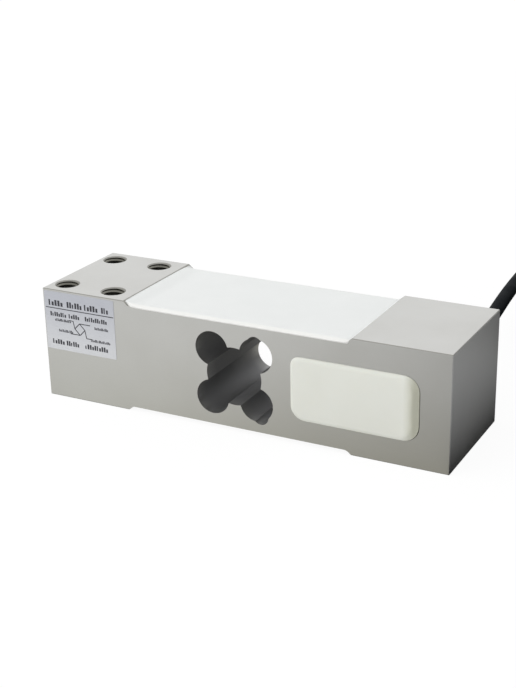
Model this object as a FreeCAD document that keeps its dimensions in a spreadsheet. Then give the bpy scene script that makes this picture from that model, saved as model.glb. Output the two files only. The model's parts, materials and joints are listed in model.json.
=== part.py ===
"""Single point load cell: machined aluminium block, sealed strain gauge bridge and signal cable.

Frame: origin at the bottom centre of the block, +X along the block towards its fixed end,
+Y from the face with the sealed pocket towards the cable exit, +Z up. Millimetres.
"""
import FreeCAD, Part
import math
import os
import re

import Sketcher

Vector = FreeCAD.Vector

# Driving sizes: name, value, what it is.
SIZES = [
    ("body_length", 150.0, "overall length of the block"),
    ("body_width", 44.0, "overall depth of the block"),
    ("body_height", 40.0, "overall height over the mounting pads"),
    ("pad_length", 33.0, "length of each mounting pad"),
    ("top_recess", 1.8, "depth of the gauge recess below the upper pads"),
    ("bottom_recess", 1.5, "depth of the gauge recess above the lower pads"),
    ("ramp_angle", 42.0, "slope between a pad and its recess, degrees"),
    ("ramp_fillet", 2.5, "cutter radius where a slope meets the recess"),
    ("edge_break", 0.25, "deburring chamfer of the outer edges"),
    ("bore_radius", 10.15, "central bore of the clover cut-out"),
    ("lobe_radius", 6.05, "each of the four lobes"),
    ("lobe_offset_x", 8.15, "lobe centre from the bore centre, along the block"),
    ("lobe_offset_z", 8.55, "lobe centre from the bore centre, up and down"),
    ("trim_radius", 2.9, "filed trimming notch in the wall of a lobe"),
    ("trim_low_proud", 1.1, "how far the lower notch reaches past its lobe's wall"),
    ("trim_low_angle", -70.0, "direction of the lower notch, degrees from +X"),
    ("trim_high_proud", 0.6, "how far the upper notch reaches past its lobe's wall"),
    ("trim_high_angle", 95.0, "direction of the upper notch, degrees from +X"),
    ("trim_depth", 12.0, "how far a notch runs in from the front face"),
    ("pocket_length", 44.2, "wiring pocket along the block"),
    ("pocket_height", 22.1, "wiring pocket height"),
    ("pocket_corner", 5.5, "corner radius of the wiring pocket"),
    ("pocket_centre_x", 42.75, "pocket centre from the middle of the block"),
    ("pocket_depth", 24.0, "pocket depth from the front face"),
    ("hole_diameter", 8.0, "nominal diameter of the mounting threads"),
    ("hole_mouth", 8.8, "countersunk mouth of each mounting thread"),
    ("hole_spacing_x", 19.0, "mounting pattern along the block"),
    ("hole_spacing_y", 30.0, "mounting pattern across the block"),
    ("hole_end_gap", 5.7, "outer hole row from the end of the block"),
    ("load_hole_depth", 18.0, "threads in the load end, from above"),
    ("fixed_hole_depth", 7.0, "threads in the fixed end, from below"),
    ("passage_diameter", 3.0, "wire passages from the recesses to the pocket"),
    ("passage_x", 30.0, "wire passages from the middle of the block"),
    ("passage_y", -4.0, "wire passages from the middle plane"),
    ("cable_diameter", 5.3, "outer sheath of the signal cable"),
    ("cable_bore_gap", 0.2, "radial clearance of the cable in its bore"),
    ("cable_x", 59.5, "cable axis from the middle of the block"),
    ("bush_diameter", 9.0, "rubber bush round the cable at the exit"),
    ("bush_length", 6.0, "depth of the bush's counterbore"),
    ("bush_gap", 0.05, "radial clearance of the bush round the cable"),
    ("crimp_diameter", 8.4, "crimp ring on the cable inside the pocket"),
    ("crimp_length", 4.0, "length of the crimp ring"),
    ("sheath_tail", 1.0, "sheath that stands past the crimp ring"),
    ("coat_drop", 0.75, "top coating surface below the pads"),
    ("under_coat_thickness", 0.9, "bottom coating thickness"),
    ("under_coat_inset", 2.5, "bottom coating edge from the block's sides"),
    ("relief_height", 0.75, "space over the gauges inside each coating"),
    ("relief_start", -13.0, "left end of that space"),
    ("relief_end", 32.5, "right end of that space"),
    ("relief_front", -7.0, "front edge of that space"),
    ("relief_back", 5.0, "back edge of that space"),
    ("potting_depth", 9.0, "thickness of the sealing plug in the pocket"),
    ("potting_bulge", 0.8, "how far the plug stands proud of the front face"),
    ("potting_round", 1.5, "rounded rim of the plug"),
    ("label_length", 28.7, "rating label along the block"),
    ("label_height", 21.3, "rating label height"),
    ("label_thickness", 0.12, "rating label foil"),
    ("label_end_gap", 0.5, "label edge from the end of the block"),
    ("label_top_gap", 0.75, "label edge below the upper pad"),
    ("gauge_length", 8.0, "strain gauge backing along the block"),
    ("gauge_width", 5.0, "strain gauge backing across the block"),
    ("gauge_thickness", 0.12, "strain gauge backing"),
    ("grid_length", 5.0, "foil grid on a gauge"),
    ("grid_width", 3.2, "foil grid width"),
    ("grid_thickness", 0.05, "foil grid thickness"),
    ("strip_length", 4.0, "solder strip along the block"),
    ("strip_width", 8.0, "solder strip across the block"),
    ("strip_thickness", 0.3, "solder strip thickness"),
    ("strip_y", -1.3, "solder strip centre from the middle plane"),
    ("wire_diameter", 0.3, "enamelled gauge wires"),
    ("wire_pitch", 0.6, "spacing of the wires in a passage"),
    ("wire_height", 0.5, "wire axis above the recess floor"),
    ("wire_start", 1.5, "wire end over the solder strip"),
    ("wire_bend", 0.9, "bend radius of the gauge wires"),
    ("jumper_y", 1.6, "gauge jumpers from the middle plane"),
    ("jumper_length", 3.2, "length of each gauge jumper"),
    ("board_length", 26.0, "compensation board"),
    ("board_height", 16.0, "compensation board"),
    ("board_thickness", 1.6, "compensation board"),
    ("board_centre_x", 37.0, "compensation board centre"),
    ("board_corner", 1.0, "corner radius of the board"),
    ("pad_pitch", 1.3, "gauge wire pads on the board"),
    ("pad_margin", 1.25, "outermost wire pad from the board's edge"),
    ("core_pad_x", 47.0, "cable core pads on the board"),
    ("core_pad_pitch", 2.5, "spacing of the cable core pads"),
    ("core_diameter", 1.1, "insulated cable cores inside the pocket"),
    ("drain_diameter", 0.7, "screen drain wire inside the pocket"),
    ("core_offset", 0.8, "core axis from the cable axis, both ways"),
    ("core_bend", 1.6, "bend radius of the cable cores"),
    ("resistor_length", 6.4, "wirewound resistor"),
    ("resistor_diameter", 2.4, "end caps of a resistor"),
    ("resistor_waist", 2.0, "body of a resistor between its caps"),
    ("resistor_cap", 1.3, "length of a resistor cap"),
    ("resistor_x", 39.0, "resistor centres along the board"),
    ("resistor_pitch", 4.4, "resistor spacing up the board"),
    ("sensor_length", 3.6, "nickel temperature element"),
    ("sensor_height", 4.6, "nickel temperature element"),
    ("sensor_thickness", 0.9, "nickel temperature element"),
    ("seat_gap", 0.05, "gap under parts that are soldered on"),
    ("turn_gap", 0.1, "clearance between neighbouring turns of the coil"),
    ("turn_columns", 3, "turns side by side in the coil"),
    ("turn_layers", 3, "turns on top of each other in the coil"),
    ("coil_mean_radius", 31.5, "middle of the turns"),
    ("coil_x", 98.1, "coil centre"),
    ("coil_y", 121.5, "coil centre"),
    ("coil_lift", 1.2, "the ties hold the coil this far off the surface"),
    ("coil_corner", 1.5, "cut corners of the coil's section"),
    ("coil_approach", 11.0, "level cable before the coil"),
    ("coil_lead_in", 7.0, "straight cable before the coil's first turn"),
    ("coil_entry_radius", 30.0, "bend of the cable into the coil"),
    ("coil_entry_angle", 62.0, "length of that bend, degrees"),
    ("step_from", 92.0, "the last turn's open step, degrees"),
    ("step_to", 190.0, "where the last turn ends, degrees"),
    ("tie_width", 4.0, "cable tie"),
    ("tie_thickness", 1.0, "cable tie"),
    ("tie_gap", 0.1, "cable tie round the coil"),
    ("tie_head", 6.0, "cable tie head, square"),
    ("tie_head_height", 4.0, "cable tie head"),
    ("sleeve_angle", 12.0, "shrink sleeve at the sheath's end, degrees"),
    ("lead_diameter", 1.0, "stripped cores at the free end"),
    ("lead_pitch", 1.05, "spacing of the stripped cores"),
    ("lead_drop", 1.35, "stripped cores below the last turn's axis"),
    ("tip_diameter", 0.6, "tinned conductor ends"),
    ("tip_length", 3.0, "length of the tinned ends"),
]

# Turn centres of the free cable, chosen by hand: out of the exit, drooping, round to the coil.
# Along and across the block, and how far each still is from the floor to the exit's height.
CABLE_ROUTE = [
    (59.5, 33.0, 1.0),
    (58.2, 64.0, 0.953),
    (54.5, 92.0, 0.878),
    (51.5, 113.0, 0.759),
    (48.3, 130.0, 0.614),
    (50.2, 143.9, 0.433),
    (57.3, 154.8, 0.251),
    (68.3, 161.7, 0.107),
]
ARC_SHARE = 0.45

# Stripped cores: name and where each one ends, degrees round the coil.
LEADS = [("red", 118.0), ("black", 126.0), ("green", 112.0), ("white", 122.0), ("screen", 132.0)]

# Cores inside the pocket: name, side of the bundle (x, z), pad number from the middle, how far
# in front of the board the core crosses to its pad.
CORES = [
    ("red", 1, 1, 2, 9.4),
    ("black", -1, 1, 1, 7.4),
    ("white", -1, -1, -1, 7.4),
    ("green", 1, -1, -2, 9.4),
    ("screen", 0, 0, 0, 11.4),
]


class Sizes:
    """Reads driving sizes back from the spreadsheet by name."""

    def __init__(self, sheet):
        self.sheet = sheet

    def __getattr__(self, name):
        return float(self.sheet.get(name))


def make_sheet(doc):
    sheet = doc.addObject("Spreadsheet::Sheet", "Sizes")
    for row, (alias, value, note) in enumerate(SIZES, start=1):
        sheet.set(f"A{row}", alias)
        sheet.set(f"B{row}", str(value))
        sheet.setAlias(f"B{row}", alias)
        sheet.set(f"C{row}", note)
    doc.recompute()
    return sheet


def sized(expression):
    """Turn plain size names into references to the spreadsheet."""
    names = {alias for alias, _, _ in SIZES}
    return re.sub(
        r"\b[a-z_]\w*",
        lambda word: f"Sizes.{word[0]}" if word[0] in names else word[0],
        expression,
    )


FLOOR_TOP = "(body_height - top_recess)"
CENTRE_Z = "((body_height - top_recess + bottom_recess) / 2)"
TURN_PITCH = "(cable_diameter + turn_gap)"


# ---------------------------------------------------------------- sketch helpers

def new_body(doc, name):
    body = doc.addObject("PartDesign::Body", name)
    body.Label = name
    return body


def new_sketch(body, name, plane, offset=None):
    """Sketch on one of the body's own origin planes, moved along its normal by offset."""
    sketch = body.newObject("Sketcher::SketchObject", name)
    support = next(f for f in body.Origin.OriginFeatures if f.Role == plane)
    sketch.AttachmentSupport = [(support, "")]
    sketch.MapMode = "FlatFace"
    if offset:
        sketch.setExpression("AttachmentOffset.Base.z", sized(offset))
    return sketch


def value_of(obj, expression):
    return float(obj.evalExpression(sized(expression)))


def tie_point(sketch, geometry, vertex, x, y):
    """Hold a sketch point at two size expressions from the sketch's origin."""
    for kind, axis, expression in (("DistanceX", -2, x), ("DistanceY", -1, y)):
        if expression == "0":
            sketch.addConstraint(Sketcher.Constraint("PointOnObject", geometry, vertex, axis))
            continue
        number = value_of(sketch, expression)
        index = sketch.addConstraint(Sketcher.Constraint(kind, -1, 1, geometry, vertex, number))
        sketch.setExpression(f"Constraints[{index}]", sized(expression))


def polygon(sketch, corners):
    """Closed outline of straight lines through corners given as pairs of expressions."""
    points = [Vector(value_of(sketch, x), value_of(sketch, y), 0) for x, y in corners]
    count = len(points)
    first = sketch.GeometryCount
    for i in range(count):
        sketch.addGeometry(Part.LineSegment(points[i], points[(i + 1) % count]), False)
    for i in range(count):
        after = first + (i + 1) % count
        sketch.addConstraint(Sketcher.Constraint("Coincident", first + i, 2, after, 1))
    for i, (x, y) in enumerate(corners):
        tie_point(sketch, first + i, 1, x, y)


def rectangle(sketch, x_low, x_high, y_low, y_high):
    polygon(sketch, [(x_low, y_low), (x_high, y_low), (x_high, y_high), (x_low, y_high)])


def circle(sketch, x, y, radius):
    centre = Vector(value_of(sketch, x), value_of(sketch, y), 0)
    number = value_of(sketch, radius)
    index = sketch.addGeometry(Part.Circle(centre, Vector(0, 0, 1), number), False)
    tie_point(sketch, index, 3, x, y)
    held = sketch.addConstraint(Sketcher.Constraint("Radius", index, number))
    sketch.setExpression(f"Constraints[{held}]", sized(radius))


# ---------------------------------------------------------------- feature helpers

def pad(body, sketch, length, name, midplane=False, reverse=False):
    feature = body.newObject("PartDesign::Pad", name)
    feature.Profile = sketch
    feature.setExpression("Length", sized(length))
    feature.Midplane = midplane
    feature.Reversed = reverse
    body.Document.recompute()
    return feature


def pocket(body, sketch, length, name, midplane=False, reverse=False):
    """Pocket that must remove something: a cut into air stops the build."""
    before = body.Shape.Volume
    feature = body.newObject("PartDesign::Pocket", name)
    feature.Profile = sketch
    feature.setExpression("Length", sized(length))
    feature.Midplane = midplane
    feature.Reversed = reverse
    body.Document.recompute()
    if not body.Shape.Volume < before:
        raise RuntimeError(f"{name} cuts nothing")
    return feature


def edge_names(shape, wanted):
    return [f"Edge{i}" for i, edge in enumerate(shape.Edges, start=1) if wanted(edge)]


def runs_along(edge, axis):
    if not isinstance(edge.Curve, Part.Line):
        return False
    return abs(abs(edge.Curve.Direction.dot(axis)) - 1) < 1e-6


def dress(body, kind, size_name, size, wanted, name):
    """Fillet or chamfer the edges of the body's present shape that pass the test."""
    base = body.Tip
    edges = edge_names(base.Shape, wanted)
    if not edges:
        raise RuntimeError(f"{name} finds no edge")
    feature = body.newObject(f"PartDesign::{kind}", name)
    feature.Base = (base, edges)
    feature.setExpression(size_name, sized(size))
    body.Document.recompute()
    return feature


def round_bar(body, name, radius, length, y_start, inner=None):
    """Cylinder or ring about the body's own Y axis, from y_start towards +Y."""
    sketch = new_sketch(body, name + "_outline", "XZ_Plane", f"0 - {y_start}")
    circle(sketch, "0", "0", radius)
    if inner:
        circle(sketch, "0", "0", inner)
    return pad(body, sketch, length, name, reverse=True)


# ---------------------------------------------------------------- the machined block

def block_outline(sketch):
    """Side view of the block: two pads above and two below, joined by sloped recesses."""
    half = "body_length / 2"
    inner = "(body_length / 2 - pad_length)"
    low_foot = "(body_length / 2 - pad_length - bottom_recess / tan(ramp_angle * 1deg))"
    high_foot = "(body_length / 2 - pad_length - top_recess / tan(ramp_angle * 1deg))"
    right = [
        (low_foot, "bottom_recess"),
        (inner, "0"),
        (half, "0"),
        (half, "body_height"),
        (inner, "body_height"),
        (high_foot, FLOOR_TOP),
    ]
    left = [(f"0 - {x}", z) for x, z in reversed(right)]
    polygon(sketch, right + left)


def block_holes(body, name, plane_z, first_x, depth, upward):
    """Four flat or pointed blind holes with countersunk mouths, drilled into one pad."""
    sketch = new_sketch(body, name + "_centres", "XY_Plane", plane_z)
    for x in (first_x, f"{first_x} + hole_spacing_x"):
        for y in ("hole_spacing_y / 2", "0 - hole_spacing_y / 2"):
            circle(sketch, x, y, "hole_diameter / 2")
    body.Document.recompute()
    before = body.Shape.Volume
    hole = body.newObject("PartDesign::Hole", name)
    hole.Profile = sketch
    body.Document.recompute()
    hole.Threaded = False
    hole.DepthType = "Dimension"
    hole.Reversed = upward
    hole.DrillPoint = "Flat" if upward else "Angled"
    hole.HoleCutType = "Countersink"
    hole.HoleCutCustomValues = True
    hole.HoleCutCountersinkAngle = 90.0
    hole.setExpression("Diameter", sized("hole_diameter"))
    hole.setExpression("Depth", sized(depth))
    hole.setExpression("HoleCutDiameter", sized("hole_mouth"))
    body.Document.recompute()
    if not body.Shape.Volume < before:
        raise RuntimeError(f"{name} cuts nothing")


def block_cutout(body):
    """Clover through the block: a central bore and four lobes over the thin sections."""
    across = "body_width + 2"
    bore = new_sketch(body, "bore_outline", "XZ_Plane")
    circle(bore, "0", CENTRE_Z, "bore_radius")
    pocket(body, bore, across, "central_bore", midplane=True)
    lobes = new_sketch(body, "lobe_outlines", "XZ_Plane")
    for x in ("lobe_offset_x", "0 - lobe_offset_x"):
        for z in (f"{CENTRE_Z} + lobe_offset_z", f"{CENTRE_Z} - lobe_offset_z"):
            circle(lobes, x, z, "lobe_radius")
    pocket(body, lobes, across, "lobes", midplane=True)
    trims = new_sketch(body, "trim_outlines", "XZ_Plane", "body_width / 2")
    for side, up in (("low", "-"), ("high", "+")):
        turn = f"trim_{side}_angle * 1deg"
        reach = f"(lobe_radius + trim_{side}_proud - trim_radius)"
        x = f"lobe_offset_x + {reach} * cos({turn})"
        z = f"{CENTRE_Z} {up} lobe_offset_z + {reach} * sin({turn})"
        circle(trims, x, z, "trim_radius")
    pocket(body, trims, "trim_depth", "trim_notches")


def block_pocket(body):
    """Wiring pocket in the front face, with rounded corners, and the ways into it."""
    sketch = new_sketch(body, "pocket_outline", "XZ_Plane", "body_width / 2")
    rectangle(
        sketch,
        "pocket_centre_x - pocket_length / 2",
        "pocket_centre_x + pocket_length / 2",
        f"{CENTRE_Z} - pocket_height / 2",
        f"{CENTRE_Z} + pocket_height / 2",
    )
    pocket(body, sketch, "pocket_depth", "wiring_pocket")
    left = value_of(body, "pocket_centre_x - pocket_length / 2")
    right = value_of(body, "pocket_centre_x + pocket_length / 2")
    depth = value_of(body, "pocket_depth")
    low = value_of(body, f"{CENTRE_Z} - pocket_height / 2")
    high = value_of(body, f"{CENTRE_Z} + pocket_height / 2")

    def corner(edge):
        point = edge.CenterOfMass
        upright = min(abs(point.z - low), abs(point.z - high)) < 1e-4
        sideways = min(abs(point.x - left), abs(point.x - right)) < 1e-4
        return runs_along(edge, Vector(0, 1, 0)) and abs(edge.Length - depth) < 1e-4 and upright and sideways

    dress(body, "Fillet", "Radius", "pocket_corner", corner, "pocket_corners")
    cable = new_sketch(body, "cable_bore_outline", "XZ_Plane", "0 - body_width / 2")
    circle(cable, "cable_x", CENTRE_Z, "cable_diameter / 2 + cable_bore_gap")
    pocket(body, cable, "body_width - pocket_depth", "cable_bore", reverse=True)
    bush = new_sketch(body, "bush_outline", "XZ_Plane", "0 - body_width / 2")
    circle(bush, "cable_x", CENTRE_Z, "bush_diameter / 2")
    pocket(body, bush, "bush_length", "bush_counterbore", reverse=True)
    above = new_sketch(body, "upper_passage_outline", "XY_Plane", FLOOR_TOP)
    circle(above, "passage_x", "passage_y", "passage_diameter / 2")
    pocket(body, above, f"{FLOOR_TOP} - {CENTRE_Z}", "upper_passage")
    below = new_sketch(body, "lower_passage_outline", "XY_Plane", "bottom_recess")
    circle(below, "passage_x", "passage_y", "passage_diameter / 2")
    pocket(body, below, f"{CENTRE_Z} - bottom_recess", "lower_passage", reverse=True)


def make_elastic_body(doc):
    body = new_body(doc, "elastic_body")
    outline = new_sketch(body, "block_outline", "XZ_Plane")
    block_outline(outline)
    pad(body, outline, "body_width", "block", midplane=True)
    floors = (value_of(body, "bottom_recess"), value_of(body, FLOOR_TOP))
    feet = (
        value_of(body, "body_length / 2 - pad_length - bottom_recess / tan(ramp_angle * 1deg)"),
        value_of(body, "body_length / 2 - pad_length - top_recess / tan(ramp_angle * 1deg)"),
   )

    def foot(edge):
        point = edge.CenterOfMass
        for floor, reach in zip(floors, feet):
            if abs(point.z - floor) < 1e-4 and abs(abs(point.x) - reach) < 1e-4:
                return runs_along(edge, Vector(0, 1, 0))
        return False

    dress(body, "Fillet", "Radius", "ramp_fillet", foot, "recess_fillets")
    half_length = value_of(body, "body_length / 2")
    half_width = value_of(body, "body_width / 2")
    height = value_of(body, "body_height")

    def outer(edge):
        """Edges between the six outer faces of the block."""
        box = edge.BoundBox
        faces = 0
        faces += abs(box.XMin - box.XMax) < 1e-4 and abs(abs(box.XMax) - half_length) < 1e-4
        faces += abs(box.YMin - box.YMax) < 1e-4 and abs(abs(box.YMax) - half_width) < 1e-4
        faces += abs(box.ZMin) < 1e-4 and box.ZMax < 1e-4
        faces += abs(box.ZMax - height) < 1e-4 and abs(box.ZMin - height) < 1e-4
        return faces == 2

    dress(body, "Chamfer", "Size", "edge_break", outer, "edge_breaks")
    block_cutout(body)
    block_pocket(body)
    load_x = "0 - body_length / 2 + hole_end_gap"
    fixed_x = "body_length / 2 - hole_end_gap - hole_spacing_x"
    block_holes(body, "load_end_threads", "body_height", load_x, "load_hole_depth", upward=False)
    block_holes(body, "fixed_end_threads", "0", fixed_x, "fixed_hole_depth", upward=True)
    return body


# ---------------------------------------------------------------- silicone

def make_coating(doc, name, floor, recess, surface, width, above):
    """Silicone skin that fills one gauge recess between the slopes, hollow over the gauges."""
    body = new_body(doc, name)
    slope = "tan(ramp_angle * 1deg)"
    foot = f"(body_length / 2 - pad_length - {recess} / {slope})"
    thickness = f"({surface} - {floor})" if above else f"({floor} - {surface})"
    reach = f"({foot} + {thickness} / {slope})"
    sketch = new_sketch(body, name + "_outline", "XZ_Plane")
    corners = [(foot, floor), (reach, surface), (f"0 - {reach}", surface), (f"0 - {foot}", floor)]
    polygon(sketch, corners)
    pad(body, sketch, width, name + "_layer", midplane=True)
    floor_z = value_of(body, floor)
    foot_x = value_of(body, foot)

    def foot_edge(edge):
        point = edge.CenterOfMass
        at_foot = abs(abs(point.x) - foot_x) < 1e-4 and abs(point.z - floor_z) < 1e-4
        return at_foot and runs_along(edge, Vector(0, 1, 0))

    dress(body, "Fillet", "Radius", "ramp_fillet", foot_edge, name + "_feet")
    relief = new_sketch(body, name + "_relief_outline", "XY_Plane", floor)
    rectangle(relief, "relief_start", "relief_end", "relief_front", "relief_back")
    pocket(body, relief, "relief_height", name + "_relief", reverse=above)
    return body


def make_potting(doc):
    """Sealing plug of the wiring pocket, slightly domed, with a rounded rim."""
    body = new_body(doc, "pocket_potting")
    sketch = new_sketch(body, "plug_outline", "XZ_Plane", "body_width / 2 + potting_bulge")
    rectangle(
        sketch,
        "pocket_centre_x - pocket_length / 2",
        "pocket_centre_x + pocket_length / 2",
        f"{CENTRE_Z} - pocket_height / 2",
        f"{CENTRE_Z} + pocket_height / 2",
    )
    pad(body, sketch, "potting_bulge + potting_depth", "plug", reverse=True)
    dress(body, "Fillet", "Radius", "pocket_corner", lambda e: runs_along(e, Vector(0, 1, 0)), "plug_corners")
    front = value_of(body, "0 - body_width / 2 - potting_bulge")

    def rim(edge):
        box = edge.BoundBox
        return abs(box.YMax - front) < 1e-4 and abs(box.YMin - front) < 1e-4

    dress(body, "Fillet", "Radius", "potting_round", rim, "plug_rim")
    return body


# ---------------------------------------------------------------- label

def make_label(doc):
    body = new_body(doc, "rating_label")
    sketch = new_sketch(body, "label_outline", "XZ_Plane", "body_width / 2")
    left = "(0 - body_length / 2 + label_end_gap)"
    top = "(body_height - label_top_gap)"
    rectangle(sketch, left, f"{left} + label_length", f"{top} - label_height", top)
    pad(body, sketch, "label_thickness", "label_foil")
    return body


# ---------------------------------------------------------------- gauges and their wiring

def make_gauge(doc, name, side, floor, above):
    """Foil strain gauge bonded over the thinnest section beside one lobe."""
    body = new_body(doc, name)
    centre = f"({side} * lobe_offset_x)"
    sketch = new_sketch(body, name + "_backing_outline", "XY_Plane", floor)
    rectangle(
        sketch,
        f"{centre} - gauge_length / 2",
        f"{centre} + gauge_length / 2",
        "0 - gauge_width / 2",
        "gauge_width / 2",
   )
    pad(body, sketch, "gauge_thickness", name + "_backing", reverse=not above)
    face = f"{floor} + gauge_thickness" if above else f"{floor} - gauge_thickness"
    grid = new_sketch(body, name + "_grid_outline", "XY_Plane", face)
    rectangle(
        grid,
        f"{centre} - grid_length / 2",
        f"{centre} + grid_length / 2",
        "0 - grid_width / 2",
        "grid_width / 2",
   )
    pad(body, grid, "grid_thickness", name + "_grid", reverse=not above)
    return body


def make_solder_strip(doc, name, floor, above):
    """Small solder strip between two gauges."""
    body = new_body(doc, name)
    sketch = new_sketch(body, name + "_outline", "XY_Plane", floor)
    rectangle(
        sketch,
        "0 - strip_length / 2",
        "strip_length / 2",
        "strip_y - strip_width / 2",
        "strip_y + strip_width / 2",
   )
    pad(body, sketch, "strip_thickness", name + "_base", reverse=not above)
    return body


def section(centre, along, flat, diameter, sides):
    """Round section of a cord or wire, or one of few sides with a side facing flat."""
    if not sides:
        return Part.Face(Part.Wire(Part.Circle(centre, along, diameter / 2).toShape()))
    reach = diameter / 2 / math.cos(math.pi / sides)
    across = flat.cross(along).normalize()
    corners = []
    for k in range(sides + 1):
        angle = (k + 0.5) * 2 * math.pi / sides
        corners.append(centre + flat * (reach * math.cos(angle)) + across * (reach * math.sin(angle)))
    return Part.Face(Part.makePolygon(corners))


def tube(points, radii, diameter, sides=0):
    """Solid along straight runs joined by tangent arcs, one radius for each inner point."""
    bars = []
    length = 0.0
    start = points[0]
    for before, corner, after, radius in zip(points, points[1:], points[2:], radii):
        arriving = (corner - before).normalize()
        leaving = (after - corner).normalize()
        turn = arriving.getAngle(leaving)
        axis = arriving.cross(leaving).normalize()
        setback = radius * math.tan(turn / 2)
        first = corner - arriving * setback
        bars.append(section(start, arriving, axis, diameter, sides).extrude(first - start))
        centre = first + axis.cross(arriving) * radius
        profile = section(first, arriving, axis, diameter, sides)
        bars.append(profile.revolve(centre, axis, math.degrees(turn)))
        length += (first - start).Length + radius * turn
        start = corner + leaving * setback
    profile = section(start, leaving, axis, diameter, sides)
    bars.append(profile.extrude(points[-1] - start))
    length += (points[-1] - start).Length
    solid = bars[0].multiFuse(bars[1:]).Solids[0]
    if abs(solid.Volume / (profile.Area * length) - 1) > 0.01:
        raise RuntimeError("a tube's volume differs from its section times its length")
    return solid, length


def add_shape(doc, name, shape, place=None):
    feature = doc.addObject("Part::Feature", name)
    feature.Label = name
    feature.Shape = shape
    feature.Placement = place or FreeCAD.Placement()
    return feature


def make_bridge_wires(doc, s, name, floor_z, up):
    """Enamelled wires of one half bridge: solder strip, passage, pads on the board."""
    middle_z = (s.body_height - s.top_recess + s.bottom_recess) / 2
    board_face = -s.body_width / 2 + s.pocket_depth - s.board_thickness
    edge_pad = middle_z + up * (s.board_height / 2 - s.pad_margin)
    wires = []
    for i in range(3):
        y = s.passage_y + (i - 1) * s.wire_pitch
        high = floor_z + up * s.wire_height
        pad_z = edge_pad - up * (2 - i) * s.pad_pitch
        points = [
            Vector(s.wire_start, y, high),
            Vector(s.passage_x, y, high),
            Vector(s.passage_x, y, pad_z),
            Vector(s.passage_x, board_face, pad_z),
        ]
        wires.append(tube(points, [s.wire_bend, s.wire_bend], s.wire_diameter, sides=4)[0])
    return add_shape(doc, name, Part.makeCompound(wires))


def make_jumpers(doc, s, name, floor_z, up):
    """Short wires between the gauges and the solder strip, two to each gauge."""
    bars = []
    z = floor_z + up * s.wire_height
    for side in (-1, 1):
        for y in (-s.jumper_y, s.jumper_y):
            start = Vector(side * s.wire_start, y, z)
            along = Vector(side, 0, 0)
            profile = section(start, along, Vector(0, 0, 1), s.wire_diameter, 4)
            bars.append(profile.extrude(along * s.jumper_length))
    return add_shape(doc, name, Part.makeCompound(bars))


# ---------------------------------------------------------------- the wiring pocket

BOARD_BACK = "(0 - body_width / 2 + pocket_depth)"


def make_board(doc):
    body = new_body(doc, "compensation_board")
    sketch = new_sketch(body, "board_outline", "XZ_Plane", f"0 - {BOARD_BACK}")
    rectangle(
        sketch,
        "board_centre_x - board_length / 2",
        "board_centre_x + board_length / 2",
        f"{CENTRE_Z} - board_height / 2",
        f"{CENTRE_Z} + board_height / 2",
   )
    pad(body, sketch, "board_thickness", "board_sheet")
    dress(body, "Fillet", "Radius", "board_corner", lambda e: runs_along(e, Vector(0, 1, 0)), "board_corners")
    return body


def make_resistor(doc, name, row):
    """Turned resistor body with a cap at each end, lying along the board."""
    body = new_body(doc, name)
    sketch = new_sketch(body, name + "_profile", "XY_Plane")
    half = "resistor_length / 2"
    neck = "(resistor_length / 2 - resistor_cap)"
    polygon(sketch, [
        ("0 - " + half, "0"),
        (half, "0"),
        (half, "resistor_diameter / 2"),
        (neck, "resistor_diameter / 2"),
        (neck, "resistor_waist / 2"),
        ("0 - " + neck, "resistor_waist / 2"),
        ("0 - " + neck, "resistor_diameter / 2"),
        ("0 - " + half, "resistor_diameter / 2"),
    ])
    turned = body.newObject("PartDesign::Revolution", name + "_turned")
    turned.Profile = sketch
    turned.ReferenceAxis = (sketch, ["H_Axis"])
    turned.Angle = 360
    doc.recompute()
    body.setExpression("Placement.Base.x", sized("resistor_x"))
    out = f"{BOARD_BACK} - board_thickness - seat_gap - resistor_diameter / 2"
    body.setExpression("Placement.Base.y", sized(out))
    body.setExpression("Placement.Base.z", sized(f"{CENTRE_Z} + {row} * resistor_pitch"))
    return body


def make_sensor(doc):
    """Nickel element that follows the block's temperature, on the board beside the wire pads."""
    body = new_body(doc, "temperature_element")
    face = f"{BOARD_BACK} - board_thickness"
    sketch = new_sketch(body, "element_outline", "XZ_Plane", f"0 - ({face})")
    centre = "(board_centre_x - board_length / 2 + sensor_length / 2 + 0.6)"
    rectangle(
        sketch,
        f"{centre} - sensor_length / 2",
        f"{centre} + sensor_length / 2",
        f"{CENTRE_Z} - sensor_height / 2",
        f"{CENTRE_Z} + sensor_height / 2",
   )
    pad(body, sketch, "sensor_thickness", "element_block")
    return body


def make_bush(doc):
    """Rubber bush that seals the cable where it leaves the block."""
    body = new_body(doc, "cable_bush")
    round_bar(
        body,
        "bush",
        "bush_diameter / 2",
        "bush_length",
        "(body_width / 2 - bush_length)",
        inner="cable_diameter / 2 + bush_gap",
   )
    return seat_on_cable_axis(body)


def make_crimp_ring(doc):
    """Metal ring crimped on the sheath, which stops the cable being pulled out."""
    body = new_body(doc, "crimp_ring")
    round_bar(
        body,
        "ring",
        "crimp_diameter / 2",
        "crimp_length",
        f"({BOARD_BACK} - crimp_length)",
        inner="cable_diameter / 2 + bush_gap",
   )
    return seat_on_cable_axis(body)


def seat_on_cable_axis(body):
    body.setExpression("Placement.Base.x", sized("cable_x"))
    body.setExpression("Placement.Base.z", sized(CENTRE_Z))
    return body


def sheath_end(s):
    """Where the cable's sheath ends inside the pocket."""
    middle_z = (s.body_height - s.top_recess + s.bottom_recess) / 2
    y = -s.body_width / 2 + s.pocket_depth - s.crimp_length - s.sheath_tail
    return Vector(s.cable_x, y, middle_z)


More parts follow.
